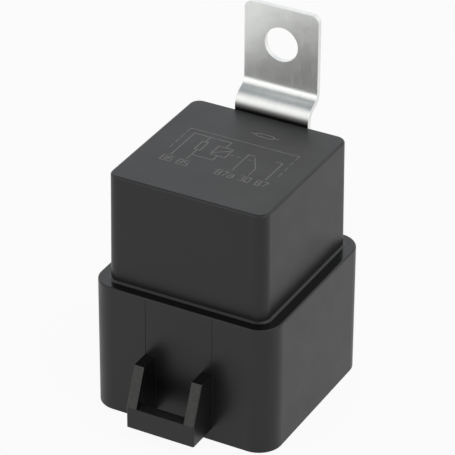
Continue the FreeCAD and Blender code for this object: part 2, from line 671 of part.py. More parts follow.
def make_base():
    """Base plate: a flange under the ledge and a raised floor inside the cover."""
    body = new_body("base_plate")
    side = f"({HALF_WIDTH} - sizes.skirt_wall - sizes.base_gap)"
    front = f"({HALF_DEPTH} - sizes.skirt_wall - sizes.base_gap)"
    flange = rounded(side, front, f"({INNER_CORNER} - sizes.base_gap)")
    pad(body, "flange", "XY_Plane", BASE_UNDER, "sizes.base_flange", flange)
    floor_side = f"({COVER_SIDE} - sizes.cover_wall - sizes.base_gap)"
    floor_front = f"({COVER_BACK} - sizes.cover_wall - sizes.base_gap)"
    floor = rounded(floor_side, floor_front, "sizes.cover_inside")
    pad(body, "floor", "XY_Plane", LEDGE_UNDER, "sizes.base_floor", floor)
    through = "sizes.base_flange + sizes.base_floor"
    pocket(body, "slots", "XY_Plane", BASE_UNDER, through, blade_slots("sizes.blade_gap"))
    half = "(sizes.blade_width / 2 + sizes.blade_gap)"
    riser = "(sizes.riser_side + sizes.blade_gap)"
    near_edge = "(sizes.run_near - sizes.blade_gap)"
    far_edge = "(sizes.run_near + sizes.run_width + sizes.blade_gap)"
    groove = outline(
        (f"-{half}", "sizes.centre_y"),
        (half, "sizes.centre_y"),
        (half, near_edge),
        (riser, near_edge),
        (riser, far_edge),
        (f"-{half}", far_edge),
    )
    bottom = f"({RUN_TOP} - sizes.carrier_thick)"
    pocket(body, "groove", "XY_Plane", bottom, f"{BASE_TOP} - {bottom}", groove)
    return body


def make_resin():
    """Sealing resin poured under the base plate, around the blades."""
    body = new_body("sealing_resin")
    side = f"({HALF_WIDTH} - sizes.skirt_wall)"
    front = f"({HALF_DEPTH} - sizes.skirt_wall)"
    pour = rounded(side, front, INNER_CORNER)
    pad(body, "pour", "XY_Plane", RESIN_UNDER, "sizes.resin_deep", pour)
    pocket(body, "slots", "XY_Plane", RESIN_UNDER, "sizes.resin_deep", blade_slots("0"))
    return body


def make_blade(name, across, along, turned, profile):
    """A flat blade drawn as an outline of width and height, with a chamfered tip."""
    body = new_body(name)
    plane = "YZ_Plane" if turned else "XZ_Plane"
    pad(body, "strip", plane, "-sizes.blade_thick / 2", "sizes.blade_thick", profile)
    width_axis = "y" if turned else "x"
    thick_axis = "x" if turned else "y"

    def tip_edge(axis):
        return lambda edge: spans(edge, axis) and level(edge, "sizes.blade_tip")
    soften(body, "nose", "Chamfer", "sizes.blade_nose", tip_edge(thick_axis))
    soften(body, "lead", "Chamfer", "sizes.blade_lead", tip_edge(width_axis))
    place(body, across, along)
    return body


def make_blades():
    """The five blades: common, coil pair, make and break."""
    half = "(sizes.blade_width / 2)"
    tip = "sizes.blade_tip"
    tenon = "(sizes.tenon_width / 2)"
    common = outline(
        (f"-{half}", tip),
        (half, tip),
        (half, BASE_TOP),
        (tenon, BASE_TOP),
        (tenon, FOOT_TOP),
        (f"-{tenon}", FOOT_TOP),
        (f"-{tenon}", BASE_TOP),
        (f"-{half}", BASE_TOP),
    )
    shoulder = f"({BASE_TOP} + sizes.shoulder_rise)"
    post = f"({BASE_TOP} + sizes.post_rise)"
    inner = f"(sizes.post_inset - {half})"
    outer = f"({RESISTOR_Y} + sizes.post_past - sizes.centre_y)"
    coil = outline(
        (f"-{half}", tip),
        (half, tip),
        (half, shoulder),
        (outer, shoulder),
        (outer, post),
        (inner, post),
        (inner, shoulder),
        (f"-{half}", shoulder),
    )
    make = rectangle(f"-{half}", half, tip, f"{BASE_TOP} + sizes.blade_overlap")
    brk = rectangle(f"-{half}", half, tip, RUN_TOP)
    return [
        make_blade("blade_30", "0", COMMON_Y, True, common),
        make_blade("blade_85", "sizes.coil_pitch", "sizes.centre_y", True, coil),
        make_blade("blade_86", "-sizes.coil_pitch", "sizes.centre_y", True, coil),
        make_blade("blade_87", "0", MAKE_Y, False, make),
        make_blade("blade_87a", "0", "sizes.centre_y", False, brk),
    ]


def make_yoke():
    """Yoke bent from plate: a foot under the coil and a leg up to the hinge edge."""
    body = new_body("yoke")
    outer = f"(-{YOKE_BACK})"
    inner = f"(sizes.yoke_thick - {YOKE_BACK})"
    end = f"(sizes.yoke_foot - {YOKE_BACK})"
    profile = outline(
        (outer, BASE_TOP),
        (end, BASE_TOP),
        (end, FOOT_TOP),
        (inner, FOOT_TOP),
        (inner, YOKE_TOP),
        (outer, YOKE_TOP),
    )
    pad(body, "angle", "YZ_Plane", "-sizes.yoke_width / 2", "sizes.yoke_width", profile)
    soften(body, "inner_bend", "Fillet", "sizes.yoke_round", along_bend("x", (inner, FOOT_TOP)))
    outer_radius = "sizes.yoke_round + sizes.yoke_thick"
    soften(body, "outer_bend", "Fillet", outer_radius, along_bend("x", (outer, BASE_TOP)))
    core = circles("sizes.tenon_radius", ("0", COIL_Y))
    pocket(body, "core_hole", "XY_Plane", BASE_TOP, "sizes.yoke_thick", core)
    thin = "sizes.blade_thick / 2"
    half = "sizes.tenon_width / 2"
    tenon = rectangle(f"-{thin}", thin, f"{COMMON_Y} - {half}", f"{COMMON_Y} + {half}")
    pocket(body, "blade_slot", "XY_Plane", BASE_TOP, "sizes.yoke_thick", tenon)
    studs = pair_of_circles("sizes.stud_radius", "sizes.stud_side", STUD_HEIGHT)
    pocket(body, "stud_holes", "XZ_Plane", outer, "sizes.yoke_thick", studs)
    return body


def make_core():
    """Core turned with a wide pole and a thin end that is riveted into the yoke's foot."""
    body = new_body("core")
    profile = outline(
        ("0", BASE_TOP),
        ("sizes.tenon_radius", BASE_TOP),
        ("sizes.tenon_radius", FOOT_TOP),
        ("sizes.core_radius", FOOT_TOP),
        ("sizes.core_radius", POLE_UNDER),
        ("sizes.pole_radius", POLE_UNDER),
        ("sizes.pole_radius", YOKE_TOP),
        ("0", YOKE_TOP),
    )
    revolve(body, "turning", profile)
    place(body, "0", COIL_Y)
    return body


def make_bobbin():
    """Bobbin: a tube on the core between two square flanges."""
    body = new_body("bobbin")
    square = rectangle(f"-{FLANGE_HALF}", FLANGE_HALF, f"-{FLANGE_HALF}", FLANGE_HALF)
    tall = f"{POLE_UNDER} - {FOOT_TOP}"
    upper = f"({POLE_UNDER} - sizes.flange_thick)"
    pad(body, "lower_flange", "XY_Plane", FOOT_TOP, "sizes.flange_thick", square)
    pad(body, "tube", "XY_Plane", FOOT_TOP, tall, circles(BOBBIN_TUBE, ("0", "0")))
    pad(body, "upper_flange", "XY_Plane", upper, "sizes.flange_thick", square)
    pocket(body, "bore", "XY_Plane", FOOT_TOP, tall, circles(BOBBIN_BORE, ("0", "0")))
    place(body, "0", COIL_Y)
    return body


def make_winding():
    """Copper winding between the bobbin's flanges."""
    body = new_body("coil_winding")
    low = f"({FOOT_TOP} + sizes.flange_thick)"
    high = f"({POLE_UNDER} - sizes.flange_thick)"
    revolve(body, "turns", rectangle(BOBBIN_TUBE, WINDING_RADIUS, low, high))
    place(body, "0", COIL_Y)
    return body


def make_coil_wire(name, angle):
    """A straight end of the winding, out to the face of a coil blade's post."""
    body = new_body(name)
    start = f"({WINDING_RADIUS} + sizes.wire_gap)"
    end = f"(({POST_FACE} - sizes.wire_radius * sin(sizes.wire_exit)) / cos(sizes.wire_exit))"
    wire = circles("sizes.wire_radius", ("0", "0"))
    pad(body, "wire", "YZ_Plane", start, f"{end} - {start}", wire)
    turn(body, (0, 0, 1), angle)
    place(body, "0", COIL_Y, f"{FOOT_TOP} + sizes.flange_thick + sizes.wire_rise")
    return body


def make_armature():
    """Armature plate, tapered towards its free end, with holes for its rivets."""
    body = new_body("armature")
    wide = "sizes.armature_width / 2"
    slim = "sizes.armature_nose / 2"
    plate = outline(
        (f"-{wide}", "sizes.armature_start"),
        (wide, "sizes.armature_start"),
        (wide, "sizes.armature_shoulder"),
        (slim, ARMATURE_END),
        (f"-{slim}", ARMATURE_END),
        (f"-{wide}", "sizes.armature_shoulder"),
    )
    pad(body, "plate", "XY_Plane", "sizes.hinge_gap", "sizes.armature_thick", plate)

    def free_corner(edge):
        return spans(edge, "z") and near(edge.BoundBox.YMin, size(ARMATURE_END))
    soften(body, "corners", "Fillet", "sizes.armature_corner", free_corner)
    holes = pair_of_circles("sizes.rivet_radius", "sizes.rivet_side", "sizes.rivet_place")
    pocket(body, "rivet_holes", "XY_Plane", "sizes.hinge_gap", "sizes.armature_thick", holes)
    hang_on_hinge(body)
    return body


def make_leaf():
    """Contact leaf: a thin strip on the armature that carries the moving contact."""
    body = new_body("contact_leaf")
    wide = "sizes.leaf_width / 2"
    slim = "sizes.leaf_nose / 2"
    taper = f"({CONTACT_ARM} - sizes.leaf_taper)"
    narrow = f"({CONTACT_ARM} - sizes.leaf_slim)"
    end = f"({CONTACT_ARM} + sizes.leaf_nose / 2)"
    strip = outline(
        (f"-{wide}", "sizes.leaf_start"),
        (wide, "sizes.leaf_start"),
        (wide, taper),
        (slim, narrow),
        (slim, end),
        (f"-{slim}", end),
        (f"-{slim}", narrow),
        (f"-{wide}", taper),
    )
    pad(body, "strip", "XY_Plane", LEAF_UNDER, "sizes.leaf_thick", strip)

    def free_corner(edge):
        return spans(edge, "z") and near(edge.BoundBox.YMin, size(end))
    soften(body, "corners", "Fillet", "sizes.leaf_corner", free_corner)
    rivets = pair_of_circles("sizes.rivet_radius", "sizes.rivet_side", "sizes.rivet_place")
    pocket(body, "rivet_holes", "XY_Plane", LEAF_UNDER, "sizes.leaf_thick", rivets)
    contact = circles("sizes.contact_shank", ("0", CONTACT_ARM))
    pocket(body, "contact_hole", "XY_Plane", LEAF_UNDER, "sizes.leaf_thick", contact)
    hang_on_hinge(body)
    return body


def make_armature_rivets():
    """Two rivets that hold the contact leaf on the armature."""
    body = new_body("armature_rivets")
    body.AllowCompound = True
    shanks = pair_of_circles("sizes.rivet_radius", "sizes.rivet_side", "sizes.rivet_place")
    heads = pair_of_circles("sizes.rivet_head", "sizes.rivet_side", "sizes.rivet_place")
    long = "sizes.armature_thick + sizes.leaf_thick"
    pad(body, "shanks", "XY_Plane", "sizes.hinge_gap", long, shanks)
    pad(body, "heads", "XY_Plane", LEAF_TOP, "sizes.rivet_high", heads)
    hang_on_hinge(body)
    return body


def contact_rivet(name, steps):
    """A contact turned in steps, each a radius, a low and a high level and the bevelled one."""
    body = new_body(name)
    corners = [("0", steps[0][1])]
    for radius, low, high, bevel in steps:
        narrow = f"{radius} - sizes.contact_bevel"
        if bevel == "low":
            corners += [(narrow, low), (radius, f"{low} + sizes.contact_bevel")]
        else:
            corners.append((radius, low))
        if bevel == "high":
            corners += [(radius, f"{high} - sizes.contact_bevel"), (narrow, high)]
        else:
            corners.append((radius, high))
    corners.append(("0", steps[-1][2]))
    revolve(body, "turning", outline(*corners))
    return body


def make_contacts():
    """The moving contact through its leaf and the two fixed contacts in their carriers."""
    head = "sizes.contact_radius"
    shank = "sizes.contact_shank"
    moving = contact_rivet("moving_contact", [
        (head, f"({LEAF_UNDER} - sizes.moving_low)", LEAF_UNDER, "low"),
        (shank, LEAF_UNDER, LEAF_TOP, ""),
        (head, LEAF_TOP, f"({LEAF_TOP} + sizes.moving_high)", "high"),
    ])
    turn(moving, (1, 0, 0), "sizes.armature_lift")
    lifted_y = f"{CONTACT_ARM} * cos(sizes.armature_lift) - {YOKE_BACK}"
    place(moving, "0", lifted_y, f"{YOKE_TOP} + {CONTACT_ARM} * sin(sizes.armature_lift)")
    make = contact_rivet("make_contact", [
        (shank, f"({MAKE_SEAT} - sizes.carrier_thick)", MAKE_SEAT, ""),
        (head, MAKE_SEAT, MAKE_FACE, "high"),
    ])
    brk = contact_rivet("break_contact", [
        (head, BREAK_FACE, BREAK_SEAT, "low"),
        (shank, BREAK_SEAT, f"({BREAK_SEAT} + sizes.carrier_thick)", ""),
    ])
    for contact in (make, brk):
        place(contact, "0", CONTACT_Y)
    return [moving, make, brk]


def make_make_carrier():
    """Carrier of the make contact: a riser on its blade and a shelf under the moving contact."""
    body = new_body("make_carrier")
    front = f"({MAKE_Y} - sizes.blade_thick / 2 - sizes.carrier_thick)"
    back = f"({front} + sizes.carrier_thick)"
    under = f"({MAKE_SEAT} - sizes.carrier_thick)"
    profile = outline(
        (front, BASE_TOP),
        (back, BASE_TOP),
        (back, under),
        (CARRIER_END, under),
        (CARRIER_END, MAKE_SEAT),
        (front, MAKE_SEAT),
    )
    pad(body, "angle", "YZ_Plane", "-sizes.blade_width / 2", "sizes.blade_width", profile)
    soften(body, "inner_bend", "Fillet", "sizes.carrier_bend", along_bend("x", (back, under)))
    outer_radius = "sizes.carrier_bend + sizes.carrier_thick"
    soften(body, "outer_bend", "Fillet", outer_radius, along_bend("x", (front, MAKE_SEAT)))
    hole = circles("sizes.contact_shank", ("0", CONTACT_Y))
    pocket(body, "contact_hole", "XY_Plane", under, "sizes.carrier_thick", hole)
    return body


def make_break_carrier():
    """Carrier of the break contact: a run in the base, a riser beside the coil and an arm."""
    body = new_body("break_carrier")
    low = f"({RUN_TOP} - sizes.carrier_thick)"
    side = "sizes.riser_side"
    inner = "(sizes.riser_side - sizes.carrier_thick)"
    half = "(sizes.blade_width / 2)"
    arm_end = "(-sizes.arm_over)"
    arm_top = f"({BREAK_SEAT} + sizes.carrier_thick)"
    profile = outline(
        (f"-{half}", low),
        (side, low),
        (side, arm_top),
        (arm_end, arm_top),
        (arm_end, BREAK_SEAT),
        (inner, BREAK_SEAT),
        (inner, RUN_TOP),
        (f"-{half}", RUN_TOP),
    )
    pad(body, "channel", "XZ_Plane", "sizes.run_near", f"{CARRIER_END} - sizes.run_near", profile)
    inner_bends = along_bend("y", (inner, BREAK_SEAT), (inner, RUN_TOP))
    soften(body, "inner_bends", "Fillet", "sizes.carrier_bend", inner_bends)
    outer_bends = along_bend("y", (side, low), (side, arm_top))
    outer_radius = "sizes.carrier_bend + sizes.carrier_thick"
    soften(body, "outer_bends", "Fillet", outer_radius, outer_bends)
    run_far = "(sizes.run_near + sizes.run_width)"
    trim = rectangle(f"-{half} - sizes.overcut", f"{side} + sizes.overcut", run_far, CARRIER_END)
    trim_top = f"({BREAK_SEAT} - sizes.carrier_bend)"
    pocket(body, "trim", "XY_Plane", low, f"{trim_top} - {low}", trim)
    blade_face = "(sizes.centre_y + sizes.blade_thick / 2)"
    tongue = rectangle(f"-{half}", half, blade_face, run_far)
    pad(body, "tongue", "XY_Plane", low, "sizes.carrier_thick", tongue)
    hole = circles("sizes.contact_shank", ("0", CONTACT_Y))
    pocket(body, "contact_hole", "XY_Plane", BREAK_SEAT, "sizes.carrier_thick", hole)
    return body


def make_hinge_spring():
    """Spring riveted to the yoke's leg, bent over the armature to keep it on its hinge edge."""
    body = new_body("hinge_spring")
    inner = f"(-{YOKE_BACK})"
    outer = f"(-{YOKE_BACK} - sizes.spring_thick)"
    low = f"({BASE_TOP} + sizes.spring_rise)"
    under = f"({YOKE_TOP} + {LEAF_UNDER} + sizes.spring_air)"
    over = f"({under} + sizes.spring_thick)"
    end = f"(sizes.spring_arm - {YOKE_BACK})"
    profile = outline(
        (outer, low),
        (inner, low),
        (inner, under),
        (end, under),
        (end, over),
        (outer, over),
    )
    pad(body, "angle", "YZ_Plane", "-sizes.spring_width / 2", "sizes.spring_width", profile)
    soften(body, "inner_bend", "Fillet", "sizes.spring_bend", along_bend("x", (inner, under)))
    outer_radius = "sizes.spring_bend + sizes.spring_thick"
    soften(body, "outer_bend", "Fillet", outer_radius, along_bend("x", (outer, over)))
    studs = pair_of_circles("sizes.stud_radius", "sizes.stud_side", STUD_HEIGHT)
    pocket(body, "stud_holes", "XZ_Plane", outer, "sizes.spring_thick", studs)
    return body


def make_spring_rivets():
    """Two rivets through the hinge spring and the yoke's leg."""
    body = new_body("spring_rivets")
    body.AllowCompound = True
    face = f"(-{YOKE_BACK} - sizes.spring_thick)"
    shanks = pair_of_circles("sizes.stud_radius", "sizes.stud_side", STUD_HEIGHT)
    heads = pair_of_circles("sizes.stud_head", "sizes.stud_side", STUD_HEIGHT)
    pad(body, "shanks", "XZ_Plane", face, "sizes.yoke_thick + sizes.spring_thick", shanks)
    pad(body, "heads", "XZ_Plane", f"{face} - sizes.stud_high", "sizes.stud_high", heads)
    return body


def make_resistor():
    """Film resistor with swollen end caps, lying across the coil's posts."""
    body = new_body("resistor_body")
    half = "(sizes.resistor_length / 2)"
    waist = f"({half} - sizes.resistor_cap)"
    profile = outline(
        ("0", f"-{half}"),
        ("sizes.resistor_radius", f"-{half}"),
        ("sizes.resistor_radius", f"-{waist}"),
        ("sizes.resistor_waist", f"-{waist}"),
        ("sizes.resistor_waist", waist),
        ("sizes.resistor_radius", waist),
        ("sizes.resistor_radius", half),
        ("0", half),
    )
    revolve(body, "turning", profile)
    turn(body, (0, 1, 0), "90")
    place(body, "0", RESISTOR_Y, RESISTOR_HEIGHT)
    return body


def make_resistor_leads():
    """The resistor's two straight leads, out to the posts of the coil blades."""
    body = new_body("resistor_leads")
    body.AllowCompound = True
    start = "(sizes.resistor_length / 2)"
    long = f"{POST_FACE} - {start}"
    wire = circles("sizes.lead_radius", ("0", "0"))
    pad(body, "left", "YZ_Plane", f"-{POST_FACE}", long, wire)
    pad(body, "right", "YZ_Plane", start, long, wire)
    place(body, "0", RESISTOR_Y, RESISTOR_HEIGHT)
    return body


def check(nodes):
    """Stop if an object failed or a node's shape isn't sound."""
    doc.recompute()
    for item in doc.Objects:
        if "Invalid" in item.State or "Error" in item.State:
            raise ValueError(f"{item.Label} failed: {item.State}")
    for node in nodes:
        if node.Shape.isNull() or not node.Shape.isValid() or not node.Shape.Solids:
            raise ValueError(f"{node.Label} has no sound shape")


nodes = [make_housing(), make_bracket(), make_base(), make_resin()]
nodes += make_blades()
nodes += [make_yoke(), make_core(), make_bobbin(), make_winding()]
nodes.append(make_coil_wire("coil_start_wire", "sizes.wire_exit"))
nodes.append(make_coil_wire("coil_end_wire", "180 - sizes.wire_exit"))
nodes += [make_armature(), make_leaf(), make_armature_rivets()]
nodes += make_contacts()
nodes += [make_make_carrier(), make_break_carrier(), make_hinge_spring(), make_spring_rivets()]
nodes += [make_resistor(), make_resistor_leads()]
check(nodes)
os.makedirs("parts", exist_ok=True)
for node in nodes:
    node.Shape.exportStep(f"parts/{node.Label}.step")
    print(f"{node.Label}: {len(node.Shape.Solids)} solid, {node.Shape.Volume:.2f} mm3")
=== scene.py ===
# %% [markdown]
# # A skirted automotive relay
#
# The relay is a black moulded housing on an open skirt, with a latch loop in front and a bright
# steel bracket behind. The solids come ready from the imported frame, so this lesson gives them
# their finishes, adds the print on the cover and the rim of the poured resin, and sets up the
# studio and the camera.

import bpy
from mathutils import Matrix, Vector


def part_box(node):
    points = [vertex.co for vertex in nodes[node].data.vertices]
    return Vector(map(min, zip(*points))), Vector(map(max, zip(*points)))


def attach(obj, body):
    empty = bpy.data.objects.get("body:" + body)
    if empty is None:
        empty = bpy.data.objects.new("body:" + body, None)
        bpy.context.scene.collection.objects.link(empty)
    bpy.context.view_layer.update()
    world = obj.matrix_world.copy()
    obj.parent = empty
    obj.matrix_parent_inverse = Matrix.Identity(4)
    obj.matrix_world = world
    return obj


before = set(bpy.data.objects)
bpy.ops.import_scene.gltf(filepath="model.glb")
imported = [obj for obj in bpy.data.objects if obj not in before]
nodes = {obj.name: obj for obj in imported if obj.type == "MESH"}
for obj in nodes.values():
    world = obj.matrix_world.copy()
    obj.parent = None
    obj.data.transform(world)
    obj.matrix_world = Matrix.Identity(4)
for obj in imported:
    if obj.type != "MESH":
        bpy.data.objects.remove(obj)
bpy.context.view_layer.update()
print(len(nodes), "solids in the frame")

# %% Modules
import math

import bmesh
import bpy
from mathutils import Matrix, Vector

MM = 0.001

# %% [markdown]
# The camera stands where the photographer stood: to the right of the latch face and above it,
# far away, so the upright edges stay nearly parallel. A long lens at a known distance gives the
# same foreshortening as the photograph. The place follows from two angles, a point that the
# camera looks at and the distance to it.

# %% Camera
IMAGE_SIDE = 455
SENSOR = 36.0
FOCAL_PIXELS = 3011.8
AZIMUTH = math.radians(28.254)
ELEVATION = math.radians(30.897)
ROLL = math.radians(0.305)
AIM = Vector((62.578, -116.758, 108.624)) * MM
AIM_DISTANCE = 327.677 * MM
NEAREST = 0.01

backward = Vector((
    math.sin(AZIMUTH) * math.cos(ELEVATION),
    -math.cos(AZIMUTH) * math.cos(ELEVATION),
    math.sin(ELEVATION),
))
level_right = Vector((math.cos(AZIMUTH), math.sin(AZIMUTH), 0))
level_up = backward.cross(level_right)
right = level_right * math.cos(ROLL) + level_up * math.sin(ROLL)
up = level_up * math.cos(ROLL) - level_right * math.sin(ROLL)
turn = Matrix((right, up, backward)).transposed().to_4x4()

camera_data = bpy.data.cameras.new("camera")
camera_data.sensor_width = SENSOR
camera_data.lens = FOCAL_PIXELS * SENSOR / IMAGE_SIDE
camera_data.clip_start = NEAREST
camera = bpy.data.objects.new("camera", camera_data)
camera.matrix_world = Matrix.Translation(AIM + backward * AIM_DISTANCE) @ turn
bpy.context.scene.collection.objects.link(camera)
bpy.context.scene.camera = camera
print("camera at", [round(c, 4) for c in camera.matrix_world.translation])

# %% [markdown]
# A finish is a small network of shader nodes. Written node by node it is hard to follow, so one
# class wraps a socket and lets the maths be written as ordinary expressions, and another makes
# any other node from its type, its settings and its inputs.

# %% Shader maths as expressions
class Signal:
    """A value that flows between shader nodes."""

    def __init__(self, finish, socket):
        self.finish = finish
        self.socket = socket

    def maths(self, operation, first, second):
        """A Math node on two values or signals."""
        return self.finish.node("ShaderNodeMath", {"operation": operation}, {0: first, 1: second})

    def __add__(self, other):
        return self.maths("ADD", self, other)

    def __sub__(self, other):
        return self.maths("SUBTRACT", self, other)

    def __rsub__(self, other):
        return self.maths("SUBTRACT", other, self)

    def __mul__(self, other):
        return self.maths("MULTIPLY", self, other)

    __radd__ = __add__
    __rmul__ = __mul__


# %% Nodes from their type, settings and inputs
class Finish:
    """A node tree of a material or of the world, filled through one method."""

    def __init__(self, owner):
        owner.use_nodes = True
        self.tree = owner.node_tree
        self.tree.nodes.clear()

    def node(self, kind, settings=None, inputs=None, output=0):
        """Make a node, set it, feed its sockets and hand on one of its outputs."""
        made = self.tree.nodes.new(kind)
        for name, value in (settings or {}).items():
            if name == "stops":
                set_stops(made.color_ramp, value)
            else:
                setattr(made, name, value)
        for name, value in (inputs or {}).items():
            self.feed(made.inputs[name], value)
        return Signal(self, made.outputs[output]) if made.outputs else None

    def feed(self, socket, value):
        """Link a signal to a socket, or write a plain value there."""
        if isinstance(value, Signal):
            self.tree.links.new(value.socket, socket)
        else:
            socket.default_value = value


def set_stops(ramp, stops):
    """Fill a colour ramp with hard steps from pairs of place and colour."""
    ramp.interpolation = "CONSTANT"
    while len(ramp.elements) > 1:
        ramp.elements.remove(ramp.elements[0])
    for index, (where, colour) in enumerate(stops):
        element = ramp.elements[0] if index == 0 else ramp.elements.new(where)
        element.position = where
        element.color = (*colour, 1)


# %% Places and patterns
PATCH_START = 0.3
PATCH_FULL = 0.7


def place_on(finish):
    """Where a point lies on the object, in millimetres."""
    where = finish.node("ShaderNodeTexCoord", output="Object")
    return finish.node("ShaderNodeVectorMath", {"operation": "SCALE"}, {0: where, "Scale": 1 / MM})


def axis(finish, vector, name):
    """One coordinate of a vector."""
    return finish.node("ShaderNodeSeparateXYZ", inputs={0: vector}, output=name)


def stretched(finish, where, factors):
    """Coordinates that run faster along some axes, which draws a pattern out along the others."""
    return finish.node("ShaderNodeVectorMath", {"operation": "MULTIPLY"}, {0: where, 1: factors})


def noise(finish, where, scale, detail=2.0, roughness=0.5):
    """Cloudy noise of a given scale per millimetre."""
    sizes = {"Vector": where, "Scale": scale, "Detail": detail, "Roughness": roughness}
    return finish.node("ShaderNodeTexNoise", {"noise_dimensions": "3D"}, sizes)


def spread(finish, value, low, high, to_low=0.0, to_high=1.0):
    """Carry a value from one range to another and hold it there."""
    limits = {0: value, 1: low, 2: high, 3: to_low, 4: to_high}
    return finish.node("ShaderNodeMapRange", {"clamp": True}, limits)


def patches(finish, where, scale, detail=3.0, roughness=0.5, least=0.0, most=1.0):
    """Soft patches as a share from least to most."""
    cloudy = noise(finish, where, scale, detail, roughness)
    return spread(finish, cloudy, PATCH_START, PATCH_FULL, least, most)


def band(finish, value, start, full, fade, end):
    """A mask that rises from start to full and falls again from fade to end."""
    return spread(finish, value, start, full) * (1 - spread(finish, value, fade, end))


# %% Colours, shaders and solids
def grey(value):
    """A grey as a colour with its alpha."""
    return (value, value, value, 1)


def blend(finish, share, first, second):
    """Mix two colours by a share."""
    settings = {"data_type": "RGBA", "blend_type": "MIX"}
    return finish.node("ShaderNodeMix", settings, {0: share, 6: first, 7: second}, output=2)


def surface(finish, **inputs):
    """Close a finish with a Principled shader, its inputs named with underscores."""
    named = {name.replace("_", " "): value for name, value in inputs.items()}
    shader = finish.node("ShaderNodeBsdfPrincipled", inputs=named)
    finish.node("ShaderNodeOutputMaterial", inputs={"Surface": shader})


def new_finish(name):
    """An empty material and its finish."""
    material = bpy.data.materials.new(name)
    return material, Finish(material)


def dress(material, *names):
    """Give solids a material in every slot that they have."""
    for name in names:
        mesh = nodes[name].data
        if not mesh.materials:
            mesh.materials.append(material)
        for index in range(len(mesh.materials)):
            mesh.materials[index] = material
    print(material.name, "on", ", ".join(names))


# %% [markdown]
# No moulded or stamped edge is perfectly sharp. Real bevels on every edge would need thousands of
# small faces, so the Bevel node turns the normal across the edge instead, and the edge catches
# light as a broken edge does. Its difference from the plain normal also tells where hands and
# tools rub first, and on metal the edges there are painted paler, part wear and part painted
# highlight.

# %% Edges and relief
BEVEL_SAMPLES = 4
EDGE_START = 0.02
EDGE_FULL = 0.25
RELIEF_STRENGTH = 0.8


def soft_edges(finish, radius):
    """A normal that turns across sharp edges as if they had a radius, in millimetres."""
    return finish.node("ShaderNodeBevel", {"samples": BEVEL_SAMPLES}, {"Radius": radius * MM})


def facing(finish):
    """The plain direction in which the surface faces."""
    return finish.node("ShaderNodeNewGeometry", output="Normal")


def edge_share(finish, radius):
    """How near an edge a point is, from 0 on the flat to 1 at the edge."""
    pair = {0: soft_edges(finish, radius), 1: facing(finish)}
    match = finish.node("ShaderNodeVectorMath", {"operation": "DOT_PRODUCT"}, pair, output=1)
    return spread(finish, 1 - match, EDGE_START, EDGE_FULL)


def bump(finish, height, distance, under=None):
    """Relief from a height that is given in parts of distance, in millimetres."""
    inputs = {"Height": height, "Distance": distance * MM, "Strength": RELIEF_STRENGTH}
    if under is not None:
        inputs["Normal"] = under
    return finish.node("ShaderNodeBump", inputs=inputs)


# %% [markdown]
# The housing is moulded in black glass-filled polyamide. The mould's steel has a fine
# spark-eroded grain, so the gloss is broken up but still clear, and the large faces are never
# quite flat. An image of grain could be laid on the faces, but noise in millimetres keeps it at
# one scale on every face.

# %% Moulded plastic
PLASTIC_IOR = 1.5
TINT_SWING = 0.12
ROUGH_SWING = 0.06
GRAIN_DEPTH = 0.006
MOULDED_WAVE = 0.1
MOULDED_EDGE = 0.06
POLISHED_BY = 0.18
# Tones for the top's film and the latch's wear, each partly a painted highlight on a paler face.
DUST_AND_SHEEN = (0.03, 0.03, 0.031, 1)
SCUFFED_AND_SHEEN = (0.041, 0.041, 0.0375, 1)
ROUGHENED_BY = 0.16
TORN_GRAIN = 6


def moulded(name, tint, roughness, scuffs_and_sheen=None, polish=None, dust_and_sheen=None):
    """Grained plastic: tint and roughness, and masks of wear, polish and dusting, partly painted
    highlight.
    """
    material, finish = new_finish(name)
    where = place_on(finish)
    cloud = patches(finish, where, scale=0.18)
    tints = grey(tint * (1 - TINT_SWING)), grey(tint * (1 + TINT_SWING))
    colour = blend(finish, cloud, *tints)
    rough = roughness - ROUGH_SWING / 2 + cloud * ROUGH_SWING
    grain = noise(finish, where, scale=6.0, roughness=0.6)
    if polish:
        rough = rough - polish(finish, where) * POLISHED_BY
    # A film on the top, over an even share that paints the whole top paler as a highlight.
    if dust_and_sheen:
        colour = blend(finish, dust_and_sheen(finish, where), colour, DUST_AND_SHEEN)
    # Wear on the latch's slopes; on the bar's level top the paler colour is a painted highlight.
    if scuffs_and_sheen:
        share = scuffs_and_sheen(finish, where)
        colour = blend(finish, share, colour, SCUFFED_AND_SHEEN)
        rough = rough + share * ROUGHENED_BY
        torn = noise(finish, where, scale=3.0, detail=4.0, roughness=0.7)
        grain = grain + share * torn * TORN_GRAIN
    swells = noise(finish, where, scale=0.07, detail=1.0)
    waves = bump(finish, swells, MOULDED_WAVE, soft_edges(finish, MOULDED_EDGE))
    surface(
        finish,
        Base_Color=colour,
        Roughness=rough,
        Normal=bump(finish, grain, GRAIN_DEPTH, waves),
        IOR=PLASTIC_IOR,
    )
    return material


# %% [markdown]
# The latch's sloped faces are where a neighbour's tongue rides up when relays are clipped into a
# row. They are dull and a little pale, in ragged patches. The top of the cross bar is made the
# same, and there its paler colour is a painted highlight. A mask from the place and from the
# direction of the faces finds them, so nothing is painted by hand. Dust settles on the cover's
# top in the same way, in broad faint patches, over an even share that paints the whole top paler
# as a highlight.

# %% Scuffs and dust, partly painted highlights
LATCH_START = -17.2
BAR_TOP = 6.2
MASK_STEP = 0.2
LEVEL_SHARE = 0.45
COVER_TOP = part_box("housing")[1].z / MM
print("cover's top at", round(COVER_TOP, 2), "mm")


